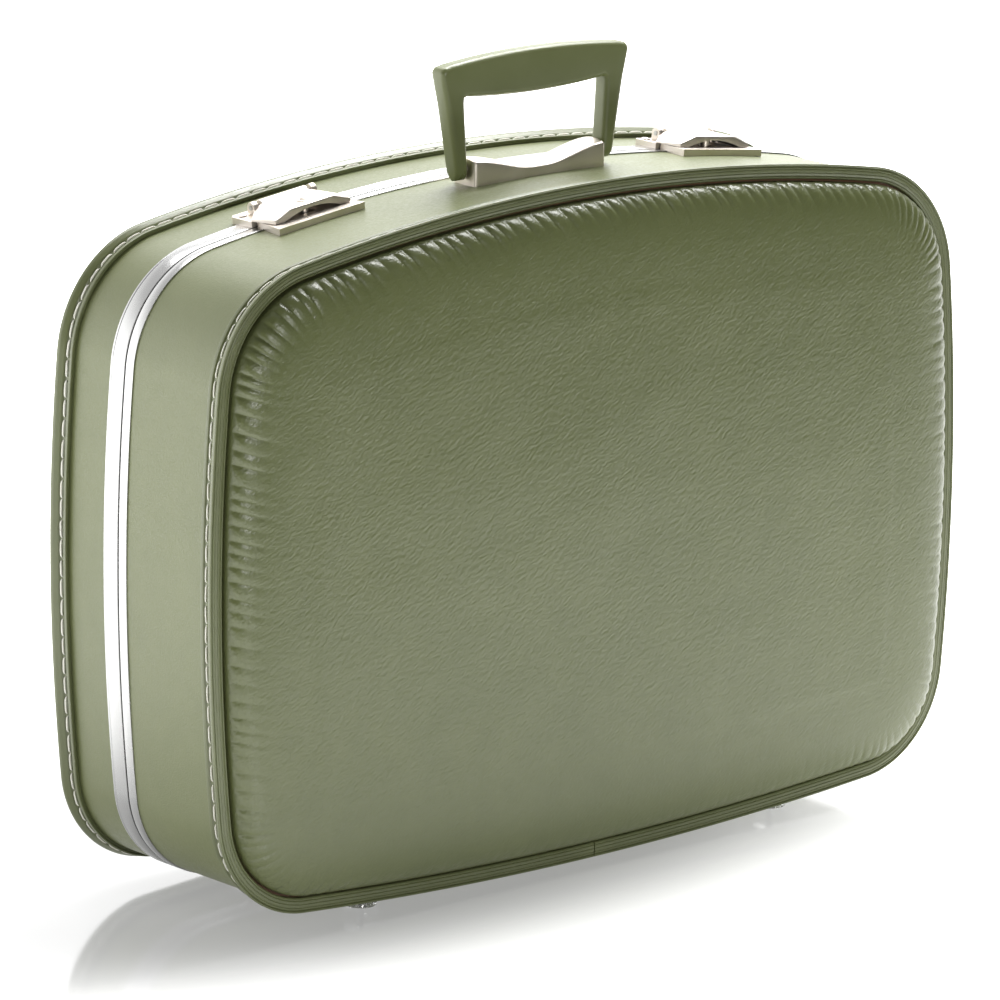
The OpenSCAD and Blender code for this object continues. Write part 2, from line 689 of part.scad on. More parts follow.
// ---- holes that the fixings need in a half ----
module front_fixings(r, nr) {
  at_both_latches() latch_rivet_places() base_rivet(r);
  hinge_rivet_shafts(-1, r);
  nail_shafts(foot_back - rim_y, nr);
  handle_screw_shafts(screw_r + bore_slack);
}
module lid_fixings(r, nr) {
  at_both_latches() hasp_rivet_places() base_rivet(r);
  hinge_rivet_shafts(1, r);
  nail_shafts(rim_y - foot_back, nr);
}

front_hoop();
front_side_cover();
front_board();
front_pad_foam();
front_pad_cover();
front_binding();
front_edge();
front_lining();
front_feet();
front_foot_nails();
lid_hoop();
lid_side_cover();
lid_board();
lid_pad_foam();
lid_pad_cover();
lid_binding();
lid_edge();
lid_lining();
lid_pocket();
lid_feet();
lid_foot_nails();
handle_saddle();
handle_pins();
handle_screws();
handle_grip();
latch_plate_left();
latch_plate_right();
latch_plate_rivets();
hasp_plate_left();
hasp_plate_right();
hasp_plate_rivets();
hasp_pin_left();
hasp_pin_right();
hasp_spring_left();
hasp_spring_right();
hasp_left();
hasp_right();
lock_plug_left();
lock_plug_right();
hinge_leaves_front();
hinge_leaves_lid();
hinge_pins();
hinge_rivets_front();
hinge_rivets_lid();
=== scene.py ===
import cmath
import math
import random

import bmesh
import bpy
import numpy as np
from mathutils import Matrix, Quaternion, Vector, noise


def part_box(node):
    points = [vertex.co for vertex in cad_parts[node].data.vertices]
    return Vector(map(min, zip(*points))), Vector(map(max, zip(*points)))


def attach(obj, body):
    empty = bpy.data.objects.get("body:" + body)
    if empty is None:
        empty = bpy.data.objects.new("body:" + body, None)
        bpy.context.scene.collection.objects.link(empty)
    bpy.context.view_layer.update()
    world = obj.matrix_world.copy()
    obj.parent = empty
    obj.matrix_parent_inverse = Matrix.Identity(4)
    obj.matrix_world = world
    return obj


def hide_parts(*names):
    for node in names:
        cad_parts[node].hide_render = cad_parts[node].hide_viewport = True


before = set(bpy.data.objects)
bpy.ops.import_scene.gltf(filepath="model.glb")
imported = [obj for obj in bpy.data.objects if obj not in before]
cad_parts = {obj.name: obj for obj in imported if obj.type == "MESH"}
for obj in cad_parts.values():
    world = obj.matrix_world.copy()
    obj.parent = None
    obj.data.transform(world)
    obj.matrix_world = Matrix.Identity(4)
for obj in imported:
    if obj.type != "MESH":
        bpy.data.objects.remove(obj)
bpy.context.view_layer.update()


# ---- camera ----
# A long lens, so the case keeps its square look. It stands to the left of the case and a little
# above the handle, and is level but for a third of a degree.
CAMERA_PLACE = Vector((-2.452, -2.842, 1.119))
CAMERA_TURN, CAMERA_DOWN, CAMERA_ROLL = math.radians(-40.664), math.radians(13.962), math.radians(0.383)
camera = bpy.data.objects.new("camera", bpy.data.cameras.new("camera"))
bpy.context.scene.collection.objects.link(camera)
bpy.context.scene.camera = camera
camera.data.sensor_width = 36
camera.data.lens = 261.1
camera.data.clip_end = 60
camera.location = CAMERA_PLACE
away = Vector((
    math.sin(CAMERA_TURN) * math.cos(CAMERA_DOWN),
    -math.cos(CAMERA_TURN) * math.cos(CAMERA_DOWN),
    math.sin(CAMERA_DOWN)))
camera.rotation_mode = "QUATERNION"
camera.rotation_quaternion = (-away).to_track_quat("-Z", "Y") @ Quaternion((0, 0, 1), CAMERA_ROLL)


# ---- rim bindings ----
# One ribbed strip of moulded green vinyl round the rim of each half. It wraps the edge of the panel
# and the side wall, has a channel for its stitching, and its two ends meet under the case.
MM = 0.001
CASE_WIDE, CROWN_UP, BASE_DOWN = 0.520, 0.190, 0.177
END_R, CROWN_R, BASE_R = 1.150, 1.123, 2.545
TOP_CORNER_R, LOW_CORNER_R = 0.068, 0.060
MID_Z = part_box("front_binding")[1].z - CROWN_UP
FRONT_RIM_Y, LID_RIM_Y = -0.067, 0.067
HALVES = (("front", FRONT_RIM_Y, 1), ("lid", LID_RIM_Y, -1))
BODY = {"front": "front_half", "lid": "lid"}
BINDING_JOINT = 0.0007


def touching(p, rp, q, rq, side):
    """The point rp from p and rq from q, on the given side of the line between them."""
    gap = abs(q - p)
    t = (rp * rp - rq * rq + gap * gap) / (2 * gap)
    u = (q - p) / gap
    return p + t * u + side * 1j * u * math.sqrt(rp * rp - t * t)


# the outline: bowed ends, crowned top and nearly flat base, joined by four corner arcs
end_mid = complex(CASE_WIDE / 2 - END_R, 0)
crown_mid = complex(0, CROWN_UP - CROWN_R)
base_mid = complex(0, BASE_R - BASE_DOWN)
top_mid = touching(end_mid, END_R - TOP_CORNER_R, crown_mid, CROWN_R - TOP_CORNER_R, 1)
low_mid = touching(end_mid, END_R - LOW_CORNER_R, base_mid, BASE_R - LOW_CORNER_R, -1)
turns = [-math.pi / 2, cmath.phase(low_mid - base_mid), cmath.phase(low_mid - end_mid),
         cmath.phase(top_mid - end_mid), cmath.phase(top_mid - crown_mid), math.pi / 2]
arcs = [(mid, r, turns[k], turns[k + 1]) for k, (mid, r) in enumerate((
    (base_mid, BASE_R), (low_mid, LOW_CORNER_R), (end_mid, END_R),
    (top_mid, TOP_CORNER_R), (crown_mid, CROWN_R)))]
arcs += [(complex(-mid.real, mid.imag), r, math.pi - b, math.pi - a) for mid, r, a, b in reversed(arcs)]
arc_mid, arc_r, arc_from = (np.array([arc[k] for arc in arcs]) for k in range(3))
arc_ends = np.cumsum([0] + [r * (b - a) for _, r, a, b in arcs])
rim_length = arc_ends[-1]


def on_rim(s, inset):
    """Places x + iz that lie inset from the outline, at distances s round it from under the case."""
    s = np.mod(s, rim_length)
    k = np.clip(np.searchsorted(arc_ends, s, side="right") - 1, 0, len(arcs) - 1)
    turn = arc_from[k] + (s - arc_ends[k]) / arc_r[k]
    return arc_mid[k] + (arc_r[k] - inset) * np.exp(1j * turn)


def rim_marks(corner_step=0.0025, long_step=0.010, gap=0.0):
    """Distances round the rim, closer at the corners; gap leaves the joint under the case open."""
    parts = []
    for k, r in enumerate(arc_r):
        step = corner_step if r < 0.1 else long_step
        count = math.ceil((arc_ends[k + 1] - arc_ends[k]) / step)
        parts.append(np.linspace(arc_ends[k], arc_ends[k + 1], count, endpoint=False))
    marks = np.concatenate(parts)
    if gap:
        inner = marks[(marks > gap) & (marks < rim_length - gap)]
        marks = np.concatenate([[gap / 2], inner, [rim_length - gap / 2]])
    return marks


def eased(corners, steps=4):
    """The closed section through (inset, depth, ease) corners in millimetres, each one rounded off."""
    spots = [complex(a, b) for a, b, _ in corners]
    out = []
    for k, (_, _, ease) in enumerate(corners):
        here = spots[k]
        back, on = spots[k - 1] - here, spots[(k + 1) % len(spots)] - here
        ease = min(ease, 0.45 * abs(back), 0.45 * abs(on))
        if ease == 0:
            out.append((here.real, here.imag))
            continue
        p, q = here + back / abs(back) * ease, here + on / abs(on) * ease
        for t in np.linspace(0, 1, steps + 1):
            spot = (1 - t) ** 2 * p + 2 * t * (1 - t) * here + t * t * q
            out.append((spot.real, spot.imag))
    return out


def new_piece(name, verts, faces, crease=35, turn_out=True):
    """A mesh object with outward faces, smooth except where its faces turn more than crease degrees."""
    mesh = bpy.data.meshes.new(name)
    mesh.from_pydata([tuple(map(float, v)) for v in verts], [], [tuple(map(int, f)) for f in faces])
    if turn_out:
        work = bmesh.new()
        work.from_mesh(mesh)
        bmesh.ops.recalc_face_normals(work, faces=work.faces)
        work.to_mesh(mesh)
        work.free()
    mesh.shade_smooth()
    mesh.set_sharp_from_angle(angle=math.radians(crease))
    piece = bpy.data.objects.new(name, mesh)
    bpy.context.scene.collection.objects.link(piece)
    return piece


def skin(n, m, first=0, looped=False):
    """Faces over n rings of m corners each: the last ring meets the first, or both ends are capped."""
    faces = [(first + k * m + j, first + k * m + (j + 1) % m,
              first + (k + 1) % n * m + (j + 1) % m, first + (k + 1) % n * m + j)
             for k in range(n if looped else n - 1) for j in range(m)]
    if not looped:
        last = first + (n - 1) * m
        faces += [[first + j for j in range(m)], [last + j for j in reversed(range(m))]]
    return faces


def sweep_rim(name, section, marks, rim_y, inward, open_ended=False, crease=35, waver=None):
    """Sends a section of (inset, depth) millimetres round the rim; depth runs inward from rim_y."""
    insets, depths = np.array(section).T * MM
    ins = np.broadcast_to(insets, (len(marks), len(insets)))
    if waver is not None:
        ins = ins + waver(marks[:, None], depths[None, :], insets[None, :])
    spots = on_rim(marks[:, None], ins)
    ys = np.broadcast_to(rim_y + inward * depths, spots.shape)
    verts = np.stack([spots.real, ys, spots.imag + MID_Z], -1).reshape(-1, 3)
    return new_piece(name, verts, skin(*spots.shape, looped=not open_ended), crease)


def wire(tree, kind, inputs=(), **settings):
    """Adds one node, with its settings and what feeds its inputs."""
    node = tree.nodes.new("ShaderNode" + kind)
    for key, value in settings.items():
        setattr(node, key, value)
    for key, value in dict(inputs).items():
        socket = node.inputs[key]
        if isinstance(value, bpy.types.NodeSocket):
            tree.links.new(value, socket)
        else:
            socket.default_value = value
    return node


def bare_finish(name, roughness, **shader):
    """A new material: its tree, its shader, and the object coordinates that its detail follows."""
    finish = bpy.data.materials.new(name)
    finish.use_nodes = True
    tree = finish.node_tree
    body = tree.nodes["Principled BSDF"]
    body.inputs["Roughness"].default_value = roughness
    for key, value in shader.items():
        body.inputs[key.replace("_", " ")].default_value = value
    return finish, tree, body, wire(tree, "TexCoord").outputs["Object"]


def relief(tree, body, height, strength, depth):
    """Raises the surface by height, a bump of this depth in metres."""
    bump = wire(tree, "Bump", {"Height": height, "Strength": strength, "Distance": depth})
    tree.links.new(bump.outputs[0], body.inputs["Normal"])


def two_tones(tree, body, share, dark, light):
    """Mixes two colours by share."""
    tone = wire(tree, "Mix", {"Factor": share, 6: (*dark, 1), 7: (*light, 1)}, data_type="RGBA")
    tree.links.new(tone.outputs[2], body.inputs["Base Color"])


def uneven_gloss(tree, body, share, rough, low=0.0, high=1.0):
    """Takes the roughness from the first of rough to the second while share goes from low to high."""
    gloss = wire(tree, "MapRange", {
        "Value": share, "From Min": low, "From Max": high, "To Min": rough[0], "To Max": rough[1]})
    tree.links.new(gloss.outputs[0], body.inputs["Roughness"])


def leatherette(name, dark, light, rough, grain, depth, lean=0.0, stretch=1.0, wear=0.0):
    """Grained vinyl. grain is the size of a wrinkle in metres, lean and stretch the way they run."""
    finish, tree, body, place = bare_finish(name, rough[0], Specular_IOR_Level=0.65)
    run = wire(tree, "Mapping", {"Vector": place, "Rotation": (0, -lean, 0), "Scale": (stretch, 1, 1)},
               vector_type="TEXTURE")
    wrinkles = wire(tree, "TexNoise", {
        "Vector": run.outputs[0], "Scale": 1 / grain, "Detail": 3.0, "Roughness": 0.55, "Distortion": 0.7})
    pores = wire(tree, "TexVoronoi", {"Vector": run.outputs[0], "Scale": 1.6 / grain, "Randomness": 1.0},
                 feature="SMOOTH_F1")
    soft = wire(tree, "TexNoise", {"Vector": place, "Scale": 11.0, "Detail": 3.0, "Roughness": 0.5})
    tint = wire(tree, "TexNoise", {"Vector": place, "Scale": 60.0, "Detail": 4.0, "Roughness": 0.6})
    height = wire(tree, "Math", {0: pores.outputs["Distance"], 1: 0.6, 2: wrinkles.outputs["Fac"]},
                  operation="MULTIPLY_ADD")
    relief(tree, body, height.outputs[0], 1.0, depth)
    blend = wire(tree, "Math", {0: soft.outputs["Fac"], 1: 0.5}, operation="MULTIPLY")
    blend = wire(tree, "Math", {0: tint.outputs["Fac"], 1: 0.5, 2: blend.outputs[0]},
                 operation="MULTIPLY_ADD")
    colour = wire(tree, "MapRange", {"Value": blend.outputs[0], "From Min": 0.32, "From Max": 0.68})
    paint = wire(tree, "Mix", {"Factor": colour.outputs[0], 6: (*dark, 1), 7: (*light, 1)}, data_type="RGBA")
    shade = paint.outputs[2]
    if wear:
        edge = wire(tree, "NewGeometry").outputs["Pointiness"]
        rubbed = wire(tree, "MapRange", {
            "Value": edge, "From Min": 0.52, "From Max": 0.60, "To Min": 0.0, "To Max": wear})
        shade = wire(tree, "Mix", {
            "Factor": rubbed.outputs[0], 6: shade, 7: (*[min(1, 2.1 * c) for c in light], 1)},
            data_type="RGBA").outputs[2]
    tree.links.new(shade, body.inputs["Base Color"])
    uneven_gloss(tree, body, wrinkles.outputs["Fac"], rough, 0.35, 0.65)
    return finish


binding_vinyl = leatherette(
    "binding_vinyl", (0.112, 0.128, 0.052), (0.136, 0.153, 0.066), (0.28, 0.40), 0.0016, 0.00005, wear=0.25)
BINDING_SECTION = eased([
    (0.0, 0.0, 0.8), (0.0, 1.9, 0.9), (1.7, 4.9, 0.8), (2.9, 5.5, 0.3), (2.9, 8.1, 0.3), (2.0, 8.7, 0.5),
    (1.9, 10.9, 0.7), (2.9, 10.95, 0.2), (3.2, 9.9, 0.2), (4.5, 9.9, 0), (4.5, 4.5, 0), (8.0, 4.5, 0),
    (8.0, 0.7, 0.5), (6.9, 0.1, 0.4), (6.6, 0.9, 0.25), (6.3, 0.35, 0.3), (4.9, 0.1, 0.3),
    (4.65, 0.55, 0.2), (4.4, 0.1, 0.3),
    (3.0, 0.1, 0.3), (2.75, 0.55, 0.2), (2.5, 0.15, 0.3), (1.7, 0.35, 0.3), (1.35, 1.0, 0.25),
    (1.05, 0.25, 0.3)])
for half, rim_y, inward in HALVES:
    strip = sweep_rim(half + "_rim_binding", BINDING_SECTION, rim_marks(gap=BINDING_JOINT),
                      rim_y, inward, open_ended=True, crease=50)
    strip.data.materials.append(binding_vinyl)
    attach(strip, BODY[half])
    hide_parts(half + "_binding")


# ---- saddle stitching ----
# Waxed cream thread, sewn through the binding, the vinyl and the ply. Each stitch stands a little
# proud of its channel in the middle and dives into its needle holes at both ends.
STITCH_PITCH, STITCH_LONG = 0.0106, 0.0096
STITCH_SLIP, STITCH_SKEW, STITCH_PROUD = 0.0003, 0.00025, 0.0001
THREAD_R, THREAD_DIVE, THREAD_FLAT = 0.00052, 0.0009, 0.85
STITCH_DEPTH, STITCH_IN = 0.0068, {"front": 0.00235, "lid": 0.00195}
finish, tree, body, place = bare_finish("waxed_thread", 0.55, Sheen_Weight=0.25)
twist = wire(tree, "TexWave", {
    "Vector": place, "Scale": 420.0, "Distortion": 1.5, "Detail": 1.0}, bands_direction="DIAGONAL")
relief(tree, body, twist.outputs["Fac"], 0.6, 0.00012)
dirt = wire(tree, "TexNoise", {"Vector": place, "Scale": 90.0, "Detail": 3.0})
two_tones(tree, body, dirt.outputs["Fac"], (0.76, 0.74, 0.62), (0.92, 0.91, 0.84))
waxed_thread = finish

stitch_count = round(rim_length / STITCH_PITCH)
needle = random.Random(7)
for half, rim_y, inward in HALVES:
    along = np.array([-1, -0.97, -0.85, -0.6, -0.25, 0.25, 0.6, 0.85, 0.97, 1])
    sag = np.abs(along) ** 7
    ring = np.exp(2j * math.pi * np.arange(8) / 8)
    verts, faces = [], []
    for k in range(stitch_count):
        s = (k + 0.5) * rim_length / stitch_count + needle.uniform(-STITCH_SLIP, STITCH_SLIP)
        half_long = STITCH_LONG / 2 * needle.uniform(0.93, 1.04)
        skew = needle.uniform(-STITCH_SKEW, STITCH_SKEW)
        proud = needle.uniform(-STITCH_PROUD, STITCH_PROUD)
        line_s = s + half_long * along
        line_in = STITCH_IN[half] - proud + THREAD_DIVE * sag
        line_depth = STITCH_DEPTH + skew * along
        thick = THREAD_R * (1 - 0.35 * sag)
        ins = line_in[:, None] + THREAD_FLAT * (thick[:, None] * ring[None, :]).real
        dep = line_depth[:, None] + (thick[:, None] * ring[None, :]).imag
        spots = on_rim(line_s[:, None], ins)
        first = len(verts)
        verts += np.stack([spots.real, rim_y + inward * dep, spots.imag + MID_Z], -1).reshape(-1, 3).tolist()
        faces += skin(*spots.shape, first=first)
    thread = new_piece(half + "_stitching", verts, faces, crease=60)
    thread.data.materials.append(waxed_thread)
    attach(thread, BODY[half])


# ---- side covers ----
# Smooth green vinyl glued round the bent ply hoop of each half, from under the binding to under the
# aluminium edge. It follows the hoop's slight hollows.
HALF_DEPTH = {"front": 81.5, "lid": 52.5}
EDGE_WIDE = {"front": 6.5, "lid": 11.5}
PART_GAP = 1.0
VINYL_OUT, VINYL_IN, VINYL_FROM = 4.6, 5.35, 5.0
HOLLOW_DEPTH = 0.16 * MM
side_vinyl = leatherette(
    "side_vinyl", (0.138, 0.157, 0.060), (0.158, 0.177, 0.071), (0.36, 0.48), 0.0013, 0.00009, stretch=1.6)


def hollows(s, depth, inset):
    """Slight waves in the wall, only on its outer face and none at its edges."""
    out = np.zeros(np.broadcast_shapes(s.shape, depth.shape))
    for a in range(out.shape[0]):
        for b in range(out.shape[1]):
            if inset[0, b] < VINYL_IN * MM:
                out[a, b] = HOLLOW_DEPTH * noise.noise((s[a, 0] * 16, depth[0, b] * 22, 3.0))
    return out


for half, rim_y, inward in HALVES:
    last = HALF_DEPTH[half] - PART_GAP / 2 - EDGE_WIDE[half]
    outer = [(VINYL_OUT, d) for d in np.linspace(VINYL_FROM, last, 10 if half == "front" else 6)]
    wall = sweep_rim(half + "_side_vinyl", outer + [(VINYL_IN, last), (VINYL_IN, VINYL_FROM)],
                     rim_marks(0.003, 0.008), rim_y, inward, waver=hollows)
    wall.data.materials.append(side_vinyl)
    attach(wall, BODY[half])
    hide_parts(half + "_side_cover")


# ---- aluminium edges ----
# Drawn aluminium strip round the mouth of each half, with fine drawn lines along its face. The
# front one carries a thin tongue that enters the channel in the wider lid edge when the case shuts.
STRIP_OUT, STRIP_SKIN, LIP_IN, LIP_LONG = 3.9, 5.42, 11.9, 6.0
TONGUE_OUT, TONGUE_IN, TONGUE_PROUD = 7.2, 8.4, 4.4
TONGUE_LOW = MID_Z - BASE_DOWN / 2
finish, tree, body, place = bare_finish("bright_aluminium", 0.24, Metallic=1.0)
drawn = wire(tree, "Mapping", {"Vector": place, "Scale": (30, 2600, 30)})
lines = wire(tree, "TexNoise", {"Vector": drawn.outputs[0], "Scale": 1.0, "Detail": 2.0})
relief(tree, body, lines.outputs["Fac"], 0.1, 0.00001)
dull = wire(tree, "TexNoise", {"Vector": place, "Scale": 40.0, "Detail": 4.0})
uneven_gloss(tree, body, dull.outputs["Fac"], (0.16, 0.34))
two_tones(tree, body, dull.outputs["Fac"], (0.40, 0.40, 0.40), (0.46, 0.46, 0.45))
bright_aluminium = finish

mouth = HALF_DEPTH["front"] - PART_GAP / 2
back = mouth - EDGE_WIDE["front"]
front_section = eased([
    (STRIP_OUT, back, 0.25), (STRIP_OUT, mouth, 0.7), (LIP_IN, mouth, 0.3), (LIP_IN, mouth - LIP_LONG, 0.2),
    (10.75, mouth - LIP_LONG, 0.2), (10.75, mouth - 1.2, 0.2), (STRIP_SKIN, mouth - 1.2, 0.2),
    (STRIP_SKIN, back, 0.1)], 2)
front_strip = sweep_rim("front_bright_edge", front_section, rim_marks(), FRONT_RIM_Y, 1)
tongue_section = eased([
    (TONGUE_OUT, mouth - 0.3, 0), (TONGUE_OUT, mouth + TONGUE_PROUD, 0.4),
    (TONGUE_IN, mouth + TONGUE_PROUD, 0.4), (TONGUE_IN, mouth - 0.3, 0)], 2)
marks = rim_marks()
climbing = marks[on_rim(marks, (TONGUE_OUT + TONGUE_IN) / 2 * MM).imag + MID_Z > TONGUE_LOW]
tongue = sweep_rim("front_tongue", tongue_section, climbing, FRONT_RIM_Y, 1, open_ended=True)
for strip in (front_strip, tongue):
    strip.data.materials.append(bright_aluminium)
    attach(strip, "front_half")
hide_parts("front_edge")

mouth = HALF_DEPTH["lid"] - PART_GAP / 2
back = mouth - EDGE_WIDE["lid"]
lid_section = eased([
    (STRIP_OUT, back, 0.25), (STRIP_OUT, back + 1.3, 0.15), (STRIP_OUT + 0.2, back + 1.6, 0.1),
    (STRIP_OUT, back + 1.9, 0.15), (STRIP_OUT, mouth, 0.7),
    (6.3, mouth, 0.2), (6.3, mouth - 5.4, 0), (9.3, mouth - 5.4, 0), (9.3, mouth, 0.2), (LIP_IN, mouth, 0.3),
    (LIP_IN, mouth - LIP_LONG, 0.2), (STRIP_SKIN, mouth - LIP_LONG, 0.1), (STRIP_SKIN, back, 0.1)], 2)
lid_strip = sweep_rim("lid_bright_edge", lid_section, rim_marks(), LID_RIM_Y, -1)
lid_strip.data.materials.append(bright_aluminium)
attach(lid_strip, "lid")
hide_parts("lid_edge")


# ---- padded panels ----
# Grained green vinyl stretched over a foam pad on a hardboard panel. The vinyl is gathered into
# small slanted pleats where the binding holds it, most of all along the top and round the corners.
PAD_ROOT, PAD_RISE, PAD_BACK = 9.5 * MM, 13.2 * MM, 4.6 * MM
PLEAT_PITCH, PLEAT_REACH = 0.0086, 0.0125
PLEAT_CUT, PLEAT_NOTCH, PLEAT_BULGE, PLEAT_FINE = 0.95 * MM, 0.8 * MM, 0.40 * MM, 0.05 * MM
PLEAT_DRAW = 0.9 * MM
FIELD_WIDE, FIELD_TALL = 152, 100
panel_vinyl = leatherette(
    "panel_vinyl", (0.104, 0.121, 0.044), (0.122, 0.139, 0.053), (0.28, 0.40), 0.0021, 0.00020,
    lean=math.radians(32), stretch=1.9)


def corner_marks(wide, tall):
    """Distances round the rim in four even sides that meet at the middles of the corner arcs, with
    wide steps along base and top and tall steps up each end."""
    low = (arc_ends[1] + arc_ends[2]) / 2
    top = (arc_ends[3] + arc_ends[4]) / 2
    turns = [-low, low, top, rim_length - top, rim_length - low]
    steps = [wide, tall, wide, tall]
    return np.concatenate([
        np.linspace(turns[k], turns[k + 1], count, endpoint=False) for k, count in enumerate(steps)])


def add_rings(verts, faces, marks, levels, where, ring=None):
    """Adds a ring for each (level, halve) and joins it to the one before; halve drops every other mark."""
    for level, halve in levels:
        if halve:
            marks = marks[::2]
        new = np.arange(len(marks)) + len(verts)
        verts += where(marks, level).tolist()
        if ring is not None:
            k = np.arange(len(new))
            on = np.roll(k, -1)
            if halve:
                mid, end = ring[2 * k + 1], ring[(2 * k + 2) % len(ring)]
                faces += list(zip(ring[2 * k], mid, new[k])) + list(zip(mid, new[on], new[k]))
                faces += list(zip(mid, end, new[on]))
            else:
                faces += list(zip(ring[k], ring[on], new[on], new[k]))
        ring = new
    return marks, ring


def add_field(verts, faces, ring, wide, tall, lift):
    """Fills the last ring with a grid that blends its four sides; lift sets each place's depth."""
    spots = np.array(verts)[ring]
    grid = np.zeros((tall + 1, wide + 1), int)
    grid[0, :] = ring[:wide + 1]
    grid[:, wide] = ring[wide:wide + tall + 1]
    grid[tall, ::-1] = ring[wide + tall:2 * wide + tall + 1]
    grid[::-1, 0] = np.append(ring[2 * wide + tall:], ring[0])
    at = lambda a: spots[a - ring[0]]
    u, v = np.meshgrid(np.linspace(0, 1, wide + 1), np.linspace(0, 1, tall + 1))
    u, v = u[..., None], v[..., None]
    low, high = at(grid[0])[None], at(grid[-1])[None]
    left, right = at(grid[:, 0])[:, None], at(grid[:, -1])[:, None]
    corners = ((1 - u) * (1 - v) * low[:, :1] + u * (1 - v) * low[:, -1:]
               + (1 - u) * v * high[:, :1] + u * v * high[:, -1:])
    place = (1 - v) * low + v * high + (1 - u) * left + u * right - corners
    middle = (16 * u * (1 - u) * v * (1 - v))[..., 0]
    place[..., 1] = lift(place, middle)
    inner = np.arange((tall - 1) * (wide - 1)).reshape(tall - 1, wide - 1) + len(verts)
    grid[1:-1, 1:-1] = inner
    verts += place[1:-1, 1:-1].reshape(-1, 3).tolist()
    faces += list(zip(
        grid[:-1, :-1].ravel(), grid[:-1, 1:].ravel(), grid[1:, 1:].ravel(), grid[1:, :-1].ravel()))


def share_risen(t):
    """How much of its rise the pad has at t metres in from the binding: steep, then nearly flat."""
    return 1 - np.exp(-0.274 * (np.maximum(t, 0) / MM) ** 0.65)


def unevenness(x, z, seed):
    """The foam's own gentle hills and hollows, wide ones and small ones."""
    return np.array([
        0.42 * noise.noise((a * 11, b * 11, seed)) + 0.16 * noise.noise((a * 34, b * 34, seed + 5))
        for a, b in zip(x, z)]) * MM


